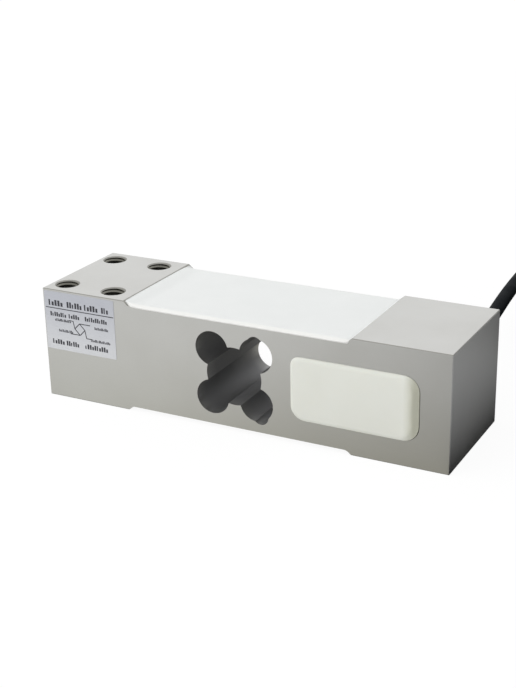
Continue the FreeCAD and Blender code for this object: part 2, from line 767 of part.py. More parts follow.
def make_core(doc, s, name, side_x, side_z, pad_number, crossing):
    """One cable core from the sheath's end to its pad on the board."""
    end = sheath_end(s)
    board_face = -s.body_width / 2 + s.pocket_depth - s.board_thickness
    start = end + Vector(side_x * s.core_offset, 0, side_z * s.core_offset)
    level = board_face - crossing
    pad_z = end.z + pad_number * s.core_pad_pitch
    points = [
        start,
        Vector(start.x, level, start.z),
        Vector(s.core_pad_x, level, pad_z),
        Vector(s.core_pad_x, board_face, pad_z),
    ]
    diameter = s.drain_diameter if side_x == 0 else s.core_diameter
    solid, _ = tube(points, [s.core_bend, s.core_bend], diameter, sides=8)
    return add_shape(doc, f"{name}_core", solid)


# ---------------------------------------------------------------- cable and coil

def turn_pitch(s):
    """Spacing of the cable turns in the coil."""
    return s.cable_diameter + s.turn_gap


def coil_radii(s):
    """Radii of the turn axes, outermost first."""
    outer = s.coil_mean_radius + (s.turn_columns - 1) / 2 * turn_pitch(s)
    return [outer - column * turn_pitch(s) for column in range(int(s.turn_columns))]


def first_layer_z(s):
    return s.coil_lift + turn_pitch(s) / 2


def cable_end(s):
    """Where the loose cable meets the coil's lead-in."""
    return Vector(s.coil_x - s.coil_lead_in, s.coil_y + coil_radii(s)[0] + turn_pitch(s), first_layer_z(s))


def make_signal_cable(doc, s):
    """Sheathed cable from inside the pocket, out of the block and round to the coil."""
    end = cable_end(s)
    level = end - Vector(s.coil_approach, 0, 0)
    start = sheath_end(s)
    route = [Vector(x, y, end.z + share * (start.z - end.z)) for x, y, share in CABLE_ROUTE]
    points = [start] + route + [level, end]
    radii = []
    for before, corner, after in zip(points, points[1:], points[2:]):
        shorter = min((corner - before).Length, (after - corner).Length)
        turn = (corner - before).getAngle(after - corner)
        radii.append(ARC_SHARE * shorter / math.tan(turn / 2))
    print("cable bend radii:", [round(radius, 1) for radius in radii])
    solid, length = tube(points, radii, s.cable_diameter)
    print("cable tube length:", round(length, 1))
    return add_shape(doc, "signal_cable", solid)


def ring_section(s):
    """Rectangle with cut corners that holds the turns of the coil, in the XZ plane."""
    radii = coil_radii(s)
    low_x = radii[-1] - turn_pitch(s) / 2
    high_x = radii[0] + turn_pitch(s) / 2
    low_z = s.coil_lift
    high_z = s.coil_lift + s.turn_layers * turn_pitch(s)
    c = s.coil_corner
    outline = [
        (low_x + c, low_z), (high_x - c, low_z), (high_x, low_z + c), (high_x, high_z - c),
        (high_x - c, high_z), (low_x + c, high_z), (low_x, high_z - c), (low_x, low_z + c),
    ]
    corners = [Vector(x, 0, z) for x, z in outline]
    return Part.Face(Part.makePolygon(corners + corners[:1]))


def lead_in_tube(s):
    """Cable that runs straight and then bends into the coil's lowest outer turn."""
    start = Vector(-s.coil_lead_in, coil_radii(s)[0] + turn_pitch(s), first_layer_z(s))
    bend = start + Vector(s.coil_lead_in, 0, 0)
    along = Vector(1, 0, 0)
    down = Vector(0, 0, -1)
    straight = section(start, along, down, s.cable_diameter, 0).extrude(bend - start)
    centre = bend - Vector(0, s.coil_entry_radius, 0)
    curve = section(bend, along, down, s.cable_diameter, 0).revolve(centre, down, s.coil_entry_angle)
    return straight.fuse(curve)


def coil_place(s, angle=0.0):
    turn = FreeCAD.Rotation(Vector(0, 0, 1), angle)
    return FreeCAD.Placement(Vector(s.coil_x, s.coil_y, 0), turn)


def make_coil(doc, s):
    """Outer shape of the coiled cable, with a step where the last turn stops short."""
    ring = ring_section(s).revolve(Vector(0, 0, 0), Vector(0, 0, 1), 360)
    step_floor = s.coil_lift + (s.turn_layers - 1) * turn_pitch(s)
    step_radius = coil_radii(s)[-1] + turn_pitch(s) / 2
    span = s.step_to - s.step_from
    step = Part.makeCylinder(step_radius, 2 * turn_pitch(s), Vector(0, 0, step_floor), Vector(0, 0, 1), span)
    step.rotate(Vector(0, 0, 0), Vector(0, 0, 1), s.step_from)
    solid = ring.fuse(lead_in_tube(s)).cut(step).removeSplitter()
    return add_shape(doc, "cable_coil", solid.Solids[0], coil_place(s))


def make_tie(doc, s, number, angle):
    """Cable tie round the coil's section, with its square head on top."""
    body = new_body(doc, f"coil_tie_{number}")
    low_x = f"(coil_mean_radius - turn_columns * {TURN_PITCH} / 2 - tie_gap)"
    high_x = f"(coil_mean_radius + turn_columns * {TURN_PITCH} / 2 + tie_gap)"
    low_z = "(coil_lift - tie_gap)"
    high_z = f"(coil_lift + turn_layers * {TURN_PITCH} + tie_gap)"
    sketch = new_sketch(body, f"tie_{number}_outline", "XZ_Plane")
    outside = [
        f"{low_x} - tie_thickness", f"{high_x} + tie_thickness",
        f"{low_z} - tie_thickness", f"{high_z} + tie_thickness",
    ]
    rectangle(sketch, *outside)
    rectangle(sketch, low_x, high_x, low_z, high_z)
    pad(body, sketch, "tie_width", f"tie_{number}_band", midplane=True)
    head = new_sketch(body, f"tie_{number}_head_outline", "XY_Plane", f"{high_z} + tie_thickness")
    rectangle(
        head,
        "coil_mean_radius - tie_head / 2",
        "coil_mean_radius + tie_head / 2",
        "0 - tie_head / 2",
        "tie_head / 2",
   )
    pad(body, head, "tie_head_height", f"tie_{number}_head")
    body.Placement = coil_place(s, angle)
    return body


def arc_bar(doc, name, path_radius, z, diameter, start, sweep, s):
    """Bar bent to the coil's own curve, from a start angle clockwise by sweep degrees."""
    bar = doc.addObject("Part::Torus", name)
    bar.Label = name
    bar.Radius1 = path_radius
    bar.Radius2 = diameter / 2
    bar.Angle3 = sweep
    place = coil_place(s, start - sweep)
    place.Base.z = z
    bar.Placement = place
    return bar


def tinned_end(doc, name, path_radius, z, angle, s):
    """Bare conductor that leaves the end of a lead in a straight line, clockwise."""
    tip = doc.addObject("Part::Cylinder", name)
    tip.setExpression("Radius", sized("tip_diameter / 2"))
    tip.setExpression("Height", sized("tip_length"))
    turn = FreeCAD.Rotation(Vector(0, 0, 1), angle)
    base = coil_place(s).Base + turn.multVec(Vector(path_radius, 0, 0)) + Vector(0, 0, z)
    tip.Placement = FreeCAD.Placement(base, turn.multiply(FreeCAD.Rotation(Vector(1, 0, 0), 90)))
    return tip


def make_free_end(doc, s):
    """Shrink sleeve, stripped cores and tinned ends, lying in the coil's step."""
    inner = coil_radii(s)[-1]
    axis_z = first_layer_z(s) + (s.turn_layers - 1) * turn_pitch(s)
    pieces = [arc_bar(doc, "end_sleeve", inner, axis_z, s.cable_diameter, s.step_to, s.sleeve_angle, s)]
    tips = []
    start = s.step_to - s.sleeve_angle
    for i, (colour, end) in enumerate(LEADS):
        radius = inner + (i - 2) * s.lead_pitch
        z = axis_z - s.lead_drop
        pieces.append(arc_bar(doc, f"{colour}_lead", radius, z, s.lead_diameter, start, start - end, s))
        tips.append(tinned_end(doc, f"{colour}_tip", radius, z, end, s))
    doc.recompute()
    group = doc.addObject("Part::Compound", "tinned_ends")
    group.Label = "tinned_ends"
    group.Links = tips
    pieces.append(group)
    return pieces


# ---------------------------------------------------------------- assembly

def check(doc, pieces):
    """Stop the build if any object failed or any piece is missing or not a valid solid."""
    for obj in doc.Objects:
        if {"Invalid", "Error"} & set(obj.State):
            raise RuntimeError(f"{obj.Name} failed: {obj.State}")
    for piece in pieces:
        if piece.Shape.isNull() or not piece.Shape.isValid() or not piece.Shape.Solids:
            raise RuntimeError(f"{piece.Label} has no valid solid")


def main():
    doc = FreeCAD.newDocument("load_cell")
    s = Sizes(make_sheet(doc))
    top = s.body_height - s.top_recess
    bottom = s.bottom_recess
    pieces = [make_elastic_body(doc)]
    surface = "(body_height - coat_drop)"
    pieces.append(make_coating(doc, "top_coating", FLOOR_TOP, "top_recess", surface, "body_width", True))
    surface = "(bottom_recess - under_coat_thickness)"
    width = "body_width - 2 * under_coat_inset"
    floor = "bottom_recess"
    pieces.append(make_coating(doc, "bottom_coating", floor, floor, surface, width, False))
    pieces.append(make_potting(doc))
    pieces.append(make_label(doc))
    for level, floor, above in (("top", FLOOR_TOP, True), ("bottom", "bottom_recess", False)):
        pieces.append(make_gauge(doc, f"{level}_load_gauge", "-1", floor, above))
        pieces.append(make_gauge(doc, f"{level}_fixed_gauge", "1", floor, above))
        pieces.append(make_solder_strip(doc, f"{level}_solder_strip", floor, above))
    for level, floor_z, up in (("top", top, 1), ("bottom", bottom, -1)):
        pieces.append(make_jumpers(doc, s, f"{level}_gauge_jumpers", floor_z, up))
        pieces.append(make_bridge_wires(doc, s, f"{level}_bridge_wires", floor_z, up))
    pieces.append(make_board(doc))
    pieces.append(make_resistor(doc, "zero_resistor", 1))
    pieces.append(make_resistor(doc, "span_resistor", 0))
    pieces.append(make_resistor(doc, "balance_resistor", -1))
    pieces.append(make_sensor(doc))
    pieces.append(make_bush(doc))
    pieces.append(make_crimp_ring(doc))
    for core in CORES:
        pieces.append(make_core(doc, s, *core))
    pieces.append(make_signal_cable(doc, s))
    pieces.append(make_coil(doc, s))
    pieces.append(make_tie(doc, s, 1, 340.0))
    pieces.append(make_tie(doc, s, 2, 240.0))
    pieces.extend(make_free_end(doc, s))
    doc.recompute()
    check(doc, pieces)
    os.makedirs("parts", exist_ok=True)
    for piece in pieces:
        piece.Shape.exportStep(f"parts/{piece.Label}.step")
    print(len(pieces), "pieces written")


main()
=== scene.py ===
"""Looks of a single point load cell: milled block, silicone skins, sealed pocket, label and cable.

Everything is in metres in the frame of the loaded model: +X along the block towards its fixed
end, +Y from the sealed pocket's face towards the cable exit, +Z up. Sizes in the classes are in
millimetres, angles in degrees and lamps in watts, and sizes are turned into metres where a mesh,
a lamp or the camera is made.
"""

import json
import logging
import math
from dataclasses import dataclass, field
from enum import Enum
from functools import cache
from typing import Iterable, Sequence

import bpy
from mathutils import Matrix, Vector, noise


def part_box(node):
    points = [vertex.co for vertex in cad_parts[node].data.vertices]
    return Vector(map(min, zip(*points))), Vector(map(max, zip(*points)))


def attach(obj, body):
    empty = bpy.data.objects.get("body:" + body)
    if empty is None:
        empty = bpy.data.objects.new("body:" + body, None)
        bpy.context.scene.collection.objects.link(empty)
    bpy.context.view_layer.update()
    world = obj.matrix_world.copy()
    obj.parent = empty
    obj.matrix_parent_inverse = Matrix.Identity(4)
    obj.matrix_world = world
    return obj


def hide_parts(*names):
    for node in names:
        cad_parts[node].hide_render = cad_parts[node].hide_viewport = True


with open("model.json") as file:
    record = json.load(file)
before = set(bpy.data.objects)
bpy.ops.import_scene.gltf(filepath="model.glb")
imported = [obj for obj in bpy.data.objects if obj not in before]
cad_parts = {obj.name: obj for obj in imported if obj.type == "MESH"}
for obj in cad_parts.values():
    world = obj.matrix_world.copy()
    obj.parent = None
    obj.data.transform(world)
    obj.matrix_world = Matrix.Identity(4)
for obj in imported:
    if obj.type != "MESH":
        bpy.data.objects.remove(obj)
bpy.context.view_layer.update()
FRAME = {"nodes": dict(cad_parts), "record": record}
MM = 0.001
ROOT = "root"
LOG = logging.getLogger("load_cell")

Socket = bpy.types.NodeSocket
Point = tuple[float, float, float]
Flat = tuple[float, float]
Colour = tuple[float, float, float]
Faces = list[list[int]]
Skin = tuple[list[Point], Faces]
Sockets = bpy.types.bpy_prop_collection


# ---------------------------------------------------------------- meshes


class Shading(Enum):
    """How a mesh's faces meet."""

    SMOOTH = "smooth"
    CREASED = "creased"
    FLAT = "flat"


CREASE_ANGLE = math.radians(35.0)


def smooth_step(value: float) -> float:
    """Ease from 0 to 1 over the unit interval."""
    t = min(1.0, max(0.0, value))
    return t * t * (3.0 - 2.0 * t)


def wander(x: float, y: float, seed: float) -> float:
    """Gentle repeatable unevenness between about -1 and 1."""
    return noise.noise(Vector((x, y, seed)))


def add_object(name: str, data: bpy.types.ID) -> bpy.types.Object:
    """Put a mesh, curve, camera or lamp into the scene.

    Args:
        name: Name of the new object.
        data: What the object shows.

    Returns:
        The new object.
    """
    made = bpy.data.objects.new(name, data)
    bpy.context.scene.collection.objects.link(made)
    return made


def make_piece(
    name: str,
    corners: Sequence[Point],
    faces: Sequence[Sequence[int]],
    shading: Shading = Shading.SMOOTH,
) -> bpy.types.Object:
    """Make a mesh object that rides on the block.

    Args:
        name: Piece name.
        corners: Vertices in millimetres.
        faces: Vertex numbers of each face.
        shading: How the faces are shaded. A smooth piece is also subdivided once.

    Returns:
        The new object.
    """
    mesh = bpy.data.meshes.new(name)
    mesh.from_pydata([(x * MM, y * MM, z * MM) for x, y, z in corners], [], [list(f) for f in faces])
    mesh.validate()
    piece = add_object(name, mesh)
    if shading is not Shading.FLAT:
        mesh.shade_smooth()
    if shading is Shading.CREASED:
        mesh.set_sharp_from_angle(angle=CREASE_ANGLE)
    if shading is Shading.SMOOTH:
        modifier = piece.modifiers.new("soften", "SUBSURF")
        modifier.levels = 1
        modifier.render_levels = 1
    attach(piece, ROOT)
    return piece


def loft(rings: Sequence[Sequence[Point]], caps: bool = True) -> Skin:
    """Join closed rings of equal length into one skin.

    Args:
        rings: Rings of points, in order.
        caps: Whether the first and last ring are closed.

    Returns:
        The vertices and the faces.
    """
    count = len(rings[0])
    corners = [point for ring in rings for point in ring]
    faces: Faces = []
    for i in range(len(rings) - 1):
        for j in range(count):
            k = (j + 1) % count
            faces.append([i * count + j, i * count + k, (i + 1) * count + k, (i + 1) * count + j])
    if caps:
        last = (len(rings) - 1) * count
        faces.append(list(range(count - 1, -1, -1)))
        faces.append([last + j for j in range(count)])
    return corners, faces


def both(first: Skin, second: Skin) -> Skin:
    """Put two skins into one mesh.

    Args:
        first: Vertices and faces of one skin.
        second: Vertices and faces of the other.

    Returns:
        The vertices and faces of both.
    """
    start = len(first[0])
    moved = [[start + corner for corner in face] for face in second[1]]
    return first[0] + second[0], first[1] + moved


def round_outline(
    low: Flat,
    high: Flat,
    radii: Sequence[float],
    steps: int,
    proud: float = 0.0,
) -> list[Flat]:
    """Points round a rectangle with rounded corners, from the lower right one and up.

    Args:
        low: Its lowest corner.
        high: Its highest corner.
        radii: Radius of each corner.
        steps: Steps that each corner is cut into.
        proud: How far the outline stands outside the rectangle.

    Returns:
        The points, both ends of each corner included.
    """
    points = []
    for corner, radius in enumerate(radii):
        x = high[0] - radius if corner < 2 else low[0] + radius
        y = high[1] - radius if corner in (1, 2) else low[1] + radius
        for k in range(steps + 1):
            angle = math.radians(90.0 * (corner - 1) + 90.0 * k / steps)
            points.append((x + (radius + proud) * math.cos(angle), y + (radius + proud) * math.sin(angle)))
    return points


def cad_box(node: str) -> tuple[Vector, Vector]:
    """Lowest and highest corner of a CAD node, in millimetres."""
    low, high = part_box(node)
    return low / MM, high / MM


def dress(node: str, material: bpy.types.Material) -> bpy.types.Object:
    """Give a CAD node a finish in place of its plain one.

    Args:
        node: Name of the node.
        material: Its finish.

    Returns:
        The node's object.
    """
    piece = FRAME["nodes"][node]
    piece.data.materials.clear()
    piece.data.materials.append(material)
    return piece


def wear(piece: bpy.types.Object, material: bpy.types.Material) -> bpy.types.Object:
    """Give a new piece its finish."""
    piece.data.materials.append(material)
    return piece


# ---------------------------------------------------------------- node graphs


class NodeGraph:
    """Adds and joins the nodes of one material or shared effect."""

    def __init__(self, tree: bpy.types.NodeTree) -> None:
        """Start on a node tree."""
        self.tree = tree

    def fill(self, target: bpy.types.Node, inputs: dict) -> None:
        """Join or set a node's inputs.

        Args:
            target: The node.
            inputs: Sockets to join or values to set, by input name or number.
        """
        for key, value in inputs.items():
            socket = target.inputs[key]
            if isinstance(value, Socket):
                self.tree.links.new(value, socket)
            elif socket.type == "RGBA":
                socket.default_value = (*value, 1.0)
            else:
                socket.default_value = value

    def node(self, kind: str, inputs: dict | None = None, **settings: object) -> bpy.types.Node:
        """Add a node.

        Args:
            kind: Node type.
            inputs: Sockets to join or values to set, by input name or number.
            settings: Properties of the node.

        Returns:
            The new node.
        """
        made = self.tree.nodes.new(kind)
        for key, value in settings.items():
            setattr(made, key, value)
        self.fill(made, inputs or {})
        return made

    def math(self, operation: str, a: Socket | float, b: Socket | float = 0.0) -> Socket:
        """Combine two values."""
        return self.node("ShaderNodeMath", {0: a, 1: b}, operation=operation).outputs[0]

    def times(self, a: Socket | float, b: Socket | float) -> Socket:
        """Multiply two values."""
        return self.math("MULTIPLY", a, b)

    def within(self, value: Socket, limit: float) -> Socket:
        """1 where a value is nearer to nought than a limit."""
        return self.math("LESS_THAN", self.math("ABSOLUTE", value), limit)

    def span(self, value: Socket, low: float, high: float, start: float = 0.0, end: float = 1.0) -> Socket:
        """Map a value's range onto another, held at its ends."""
        inputs = {0: value, 1: low, 2: high, 3: start, 4: end}
        return self.node("ShaderNodeMapRange", inputs, clamp=True).outputs[0]

    def blend(self, share: Socket | float, first: Socket | Colour, second: Socket | Colour) -> Socket:
        """Mix two colours."""
        return self.node("ShaderNodeMix", {"Factor": share, 6: first, 7: second}, data_type="RGBA").outputs[2]

    def where(self) -> Socket:
        """Place on the object, in millimetres."""
        coordinates = self.node("ShaderNodeTexCoord").outputs["Object"]
        return self.node("ShaderNodeMapping", {"Vector": coordinates, "Scale": (1 / MM,) * 3}).outputs[0]

    def parts(self, vector: Socket) -> Sockets:
        """The x, y and z of a vector."""
        return self.node("ShaderNodeSeparateXYZ", {0: vector}).outputs

    def normal(self) -> Socket:
        """Direction that the surface faces."""
        return self.node("ShaderNodeNewGeometry").outputs["Normal"]

    def noise(self, vector: Socket, scale: Socket | float, detail: float = 3.0, rough: float = 0.5) -> Socket:
        """Soft noise over a vector."""
        inputs = {"Vector": vector, "Scale": scale, "Detail": detail, "Roughness": rough}
        return self.node("ShaderNodeTexNoise", inputs).outputs[0]

    def effect(self, shared: bpy.types.NodeTree, **values: object) -> Sockets:
        """Place a shared effect with its own values."""
        return self.node("ShaderNodeGroup", values, node_tree=shared).outputs

    def bump(self, height: Socket, strength: float, distance: float) -> Socket:
        """Surface relief from a height, with its depth in millimetres."""
        inputs = {"Height": height, "Strength": strength, "Distance": distance * MM}
        return self.node("ShaderNodeBump", inputs).outputs[0]


@dataclass(frozen=True)
class SharedEffect:
    """An effect that several finishes use, built once as a node group.

    Its inputs are held as a name and a value each: a number, a vector or a colour with its alpha.
    """

    name: str
    inputs: tuple

    KINDS = {1: "NodeSocketFloat", 3: "NodeSocketVector", 4: "NodeSocketColor"}

    def results(self, graph: NodeGraph, given: Sockets) -> dict[str, Socket]:
        """Build the effect's nodes.

        Args:
            graph: Graph to build in.
            given: The group's inputs.

        Returns:
            What the group puts out, by name.
        """
        raise NotImplementedError

    @cache
    def tree(self) -> bpy.types.NodeTree:
        """Build the group.

        Returns:
            The group, the same one at every call.
        """
        tree = bpy.data.node_groups.new(self.name, "ShaderNodeTree")
        for key, value in self.inputs:
            kind = self.KINDS[len(value) if isinstance(value, tuple) else 1]
            tree.interface.new_socket(key, in_out="INPUT", socket_type=kind).default_value = value
        graph = NodeGraph(tree)
        results = self.results(graph, graph.node("NodeGroupInput").outputs)
        for key, result in results.items():
            kind = "NodeSocketColor" if result.type == "RGBA" else "NodeSocketFloat"
            tree.interface.new_socket(key, in_out="OUTPUT", socket_type=kind)
        graph.node("NodeGroupOutput", results)
        return tree


class Mottle(SharedEffect):
    """Uneven tone: a colour that drifts towards a second one in soft patches."""

    def results(self, graph: NodeGraph, given: Sockets) -> dict[str, Socket]:
        """Blend the two colours.

        Args:
            graph: Graph to build in.
            given: Color, Tint, Amount and Scale.

        Returns:
            The colour, and the mask of the patches.
        """
        patches = graph.noise(graph.where(), given["Scale"], detail=4.0, rough=0.55)
        mask = graph.span(patches, 0.35, 0.7)
        share = graph.times(mask, given["Amount"])
        return {"Color": graph.blend(share, given["Color"], given["Tint"]), "Mask": mask}


class EdgeWearAndHighlight(SharedEffect):
    """Painted highlight along sharp edges, broken up as wear and burrs are. Its width is in metres."""

    def results(self, graph: NodeGraph, given: Sockets) -> dict[str, Socket]:
        """Find the edges.

        Args:
            graph: Graph to build in.
            given: Width and Breakup.

        Returns:
            A mask that is 1 along the edges.
        """
        rounded = graph.node("ShaderNodeBevel", {"Radius": given["Width"]}, samples=4).outputs[0]
        match = graph.node("ShaderNodeVectorMath", {0: rounded, 1: graph.normal()}, operation="DOT_PRODUCT")
        edge = graph.span(match.outputs["Value"], 0.998, 0.93)
        worn = graph.times(given["Breakup"], graph.noise(graph.where(), scale=0.6))
        return {"Mask": graph.times(edge, graph.math("SUBTRACT", 1.0, worn))}


class FineGrain(SharedEffect):
    """Fine grain, drawn out along one direction."""

    def results(self, graph: NodeGraph, given: Sockets) -> dict[str, Socket]:
        """Draw the grain.

        Args:
            graph: Graph to build in.
            given: Stretch, Scale and Speckle.

        Returns:
            The grain's height, and a mask of its lines.
        """
        where = graph.where()
        drawn = graph.node("ShaderNodeVectorMath", {0: where, 1: given["Stretch"]}, operation="MULTIPLY")
        lines = graph.noise(drawn.outputs[0], given["Scale"], detail=5.0, rough=0.65)
        specks = graph.times(graph.noise(where, scale=9.0, detail=2.0), given["Speckle"])
        return {"Height": graph.math("ADD", lines, specks), "Mask": graph.span(lines, 0.4, 0.62)}


MOTTLE = Mottle(
    "mottle",
    (("Color", (0.8, 0.8, 0.8, 1.0)), ("Tint", (0.6, 0.6, 0.6, 1.0)), ("Amount", 0.2), ("Scale", 0.05)),
)
EDGE_WEAR_AND_HIGHLIGHT = EdgeWearAndHighlight("edge_wear_and_highlight", (("Width", 0.3 * MM), ("Breakup", 0.5)))
FINE_GRAIN = FineGrain("fine_grain", (("Stretch", (1.0, 1.0, 1.0)), ("Scale", 4.0), ("Speckle", 0.3)))


# ---------------------------------------------------------------- finishes


@dataclass(frozen=True)
class Finish:
    """A surface finish: its name, colours and gloss."""

    name: str
    colour: Colour
    tint: Colour
    roughness: float

    def even(self) -> dict[str, object]:
        """Shader values that are the same all over the surface."""
        return {}

    def varied(self, graph: NodeGraph) -> dict[str, Socket]:
        """Build what changes over the surface.

        Args:
            graph: The material's graph.

        Returns:
            What each shader input is joined to.
        """
        raise NotImplementedError

    def mottled(self, graph: NodeGraph, amount: float, scale: float) -> Sockets:
        """The finish's own colour in soft patches towards its tint."""
        return graph.effect(MOTTLE.tree(), Color=self.colour, Tint=self.tint, Amount=amount, Scale=scale)

    def around(self, graph: NodeGraph, mask: Socket, less: float, more: float) -> Socket:
        """The finish's roughness, moved a little either way by a mask."""
        return graph.span(mask, 0.0, 1.0, self.roughness - less, self.roughness + more)

    @cache
    def material(self) -> bpy.types.Material:
        """Build the material.

        Returns:
            The material, the same one at every call.
        """
        material = bpy.data.materials.new(self.name)
        material.use_nodes = True
        graph = NodeGraph(material.node_tree)
        shader = material.node_tree.nodes["Principled BSDF"]
        graph.fill(shader, {"Roughness": self.roughness, **self.even(), **self.varied(graph)})
        return material


@dataclass(frozen=True)
class MilledAluminium(Finish):
    """Fine-milled and lightly blasted aluminium, with painted highlights on its edges, painted shade on its
    tilted faces and painted shade in the cut-out.
    """

    # painted shade in the cut-out
    bore_shade_colour: Colour = (0.295, 0.295, 0.30)
    # painted shade on tilted faces
    tilted_shade_colour: Colour = (0.33, 0.325, 0.30)
    bore_reach: float = 16.0
    bore_height: float = 19.85
    bore_roughness: float = 0.28
    mouth: float = 21.9
    mouth_share: float = 0.55
    full_depth: float = 16.0
    wall_limit: float = 0.6
    lines: Point = (0.06, 1.0, 1.6)
    # painted highlight on the edges
    highlight_gain: float = 1.45
    highlight_share: float = 0.12

    def even(self) -> dict[str, object]:
        """Shader values that are the same all over the surface."""
        return {"Metallic": 1.0}

    def varied(self, graph: NodeGraph) -> dict[str, Socket]:
        """Build the milled tone, the painted shade on tilted faces and in the cut-out, and the painted
        highlights on the edges.

        Args:
            graph: The material's graph.

        Returns:
            What each shader input is joined to.
        """
        tone = self.mottled(graph, amount=0.22, scale=0.045)
        grain = graph.effect(FINE_GRAIN.tree(), Stretch=self.lines, Scale=5.0, Speckle=0.5)
        edges = graph.effect(EDGE_WEAR_AND_HIGHLIGHT.tree(), Width=0.35 * MM, Breakup=0.35)
        inside = self._cutout_shade(graph)
        milled = graph.blend(graph.times(grain["Mask"], 0.10), tone["Color"], self.tint)
        # painted shade: countersinks, broken edges and slopes are darkened by how far they tilt
        milled = graph.blend(self._tilted_shade(graph), milled, self.tilted_shade_colour)
        # painted shade: the cut-out's walls are darkened towards the bore colour, less so near the faces
        cutout_shaded = graph.blend(inside, milled, self.bore_shade_colour)
        # painted highlight: the edges are lightened towards a lighter copy of the metal's colour, broken up
        # like wear
        bright = tuple(min(1.0, self.highlight_gain * c) for c in self.colour)
        rough = self.around(graph, tone["Mask"], less=0.01, more=0.02)
        return {
            "Base Color": graph.blend(graph.times(edges["Mask"], self.highlight_share), cutout_shaded, bright),
            "Roughness": graph.math("ADD", rough, graph.times(inside, self.bore_roughness)),
            "Normal": graph.bump(grain["Height"], strength=0.35, distance=0.012),
        }

    def _tilted_shade(self, graph: NodeGraph) -> Socket:
        """Mask of painted shade on countersinks, broken edges and the recesses' slopes, found by how far they
        tilt.
        """
        up = graph.math("ABSOLUTE", graph.parts(graph.normal())[2])
        return graph.times(graph.span(up, 0.2, 0.35), graph.span(up, 0.97, 0.9))

    def _cutout_shade(self, graph: NodeGraph) -> Socket:
        """Mask of painted shade on the cut-out's walls, which see only each other.

        Args:
            graph: The material's graph.

        Returns:
            A mask of painted shade that eases off towards the block's two faces.
        """
        x, y, z = graph.parts(graph.where())
        wall = graph.within(graph.parts(graph.normal())[1], self.wall_limit)
        near_x = graph.within(x, self.bore_reach)
        near_z = graph.within(graph.math("SUBTRACT", z, self.bore_height), self.bore_reach)
        fade = graph.span(graph.math("ABSOLUTE", y), self.mouth, self.full_depth, self.mouth_share, 1.0)
        return graph.times(graph.times(wall, near_x), graph.times(near_z, fade))


@dataclass(frozen=True)
class ThreadMetal(Finish):
    """Freshly cut thread, with painted shade that darkens it towards the bottom of its hole."""

    mouth: float = 40.0
    depth: float = 7.0
    deep_shade_colour: Colour = (0.05, 0.05, 0.05)

    def even(self) -> dict[str, object]:
        """Shader values that are the same all over the surface."""
        return {"Metallic": 1.0}

    def varied(self, graph: NodeGraph) -> dict[str, Socket]:
        """Build the cut metal and the painted shade in its depth.

        Args:
            graph: The material's graph.

        Returns:
            What each shader input is joined to.
        """
        tone = self.mottled(graph, amount=0.4, scale=0.8)
        sunk = graph.math("SUBTRACT", graph.parts(graph.where())[2], self.mouth)
        deep = graph.span(graph.math("ABSOLUTE", sunk), 0.4, self.depth)
        grain = graph.effect(FINE_GRAIN.tree(), Stretch=(1.0, 1.0, 4.0), Scale=3.0, Speckle=0.4)
        return {
            # painted shade: darker with depth below the hole's mouth
            "Base Color": graph.blend(deep, tone["Color"], self.deep_shade_colour),
            "Normal": graph.bump(grain["Height"], strength=0.3, distance=0.01),
        }


@dataclass(frozen=True)
class Silicone(Finish):
    """Poured or brushed silicone: soft gloss, faint ripples, and painted light past one place."""

    ripple: float
    # painted light: a painted highlight on the skin's bead, painted shade on the plug's right rim
    painted_light_colour: Colour
    axis: int
    far_start: float
    far_full: float
    ripple_scale: float = 0.12
    glow: float = 0.0

    def even(self) -> dict[str, object]:
        """Set the gloss of silicone and how deep light goes into it.

        Returns:
            Shader values that are the same all over the surface.
        """
        return {
            "IOR": 1.41,
            "Subsurface Weight": self.glow,
            "Subsurface Scale": 1.2 * MM,
            "Subsurface Radius": (1.0, 0.9, 0.75),
        }

    def varied(self, graph: NodeGraph) -> dict[str, Socket]:
        """Build the even tone, the painted light past one place and the ripples.

        Args:
            graph: The material's graph.

        Returns:
            What each shader input is joined to.
        """
        tone = self.mottled(graph, amount=0.5, scale=0.06)
        far = graph.span(graph.parts(graph.where())[self.axis], self.far_start, self.far_full)
        slow = graph.noise(graph.where(), self.ripple_scale, detail=1.0)
        return {
            # painted light past one place: highlight on the skin's bead, shade on the plug's rim
            "Base Color": graph.blend(far, tone["Color"], self.painted_light_colour),
            "Roughness": graph.span(slow, 0.3, 0.7, self.roughness - 0.04, self.roughness + 0.05),
            "Normal": graph.bump(slow, strength=0.5, distance=self.ripple),
        }


@dataclass(frozen=True)
class LabelFilm(Finish):
    """Silvery label film with a brushed metallised layer, paler towards its lower edge."""

    foot_colour: Colour = (0.66, 0.67, 0.695)
    head: float = 37.0
    foot: float = 20.0

    def even(self) -> dict[str, object]:
        """Shader values that are the same all over the surface."""
        return {"Metallic": 0.15, "Coat Weight": 0.25, "Coat Roughness": 0.3}

    def varied(self, graph: NodeGraph) -> dict[str, Socket]:
        """Build the brushed layer and the paler foot.

        Args:
            graph: The material's graph.

        Returns:
            What each shader input is joined to.
        """
        grain = graph.effect(FINE_GRAIN.tree(), Stretch=(0.2, 1.0, 3.0), Scale=6.0, Speckle=0.2)
        tone = self.mottled(graph, amount=0.4, scale=0.12)
        low = graph.span(graph.parts(graph.where())[2], self.head, self.foot)
        film = graph.blend(low, tone["Color"], self.foot_colour)
        return {
            "Base Color": graph.blend(graph.times(grain["Mask"], 0.12), film, self.tint),
            "Normal": graph.bump(grain["Height"], strength=0.2, distance=0.01),
        }


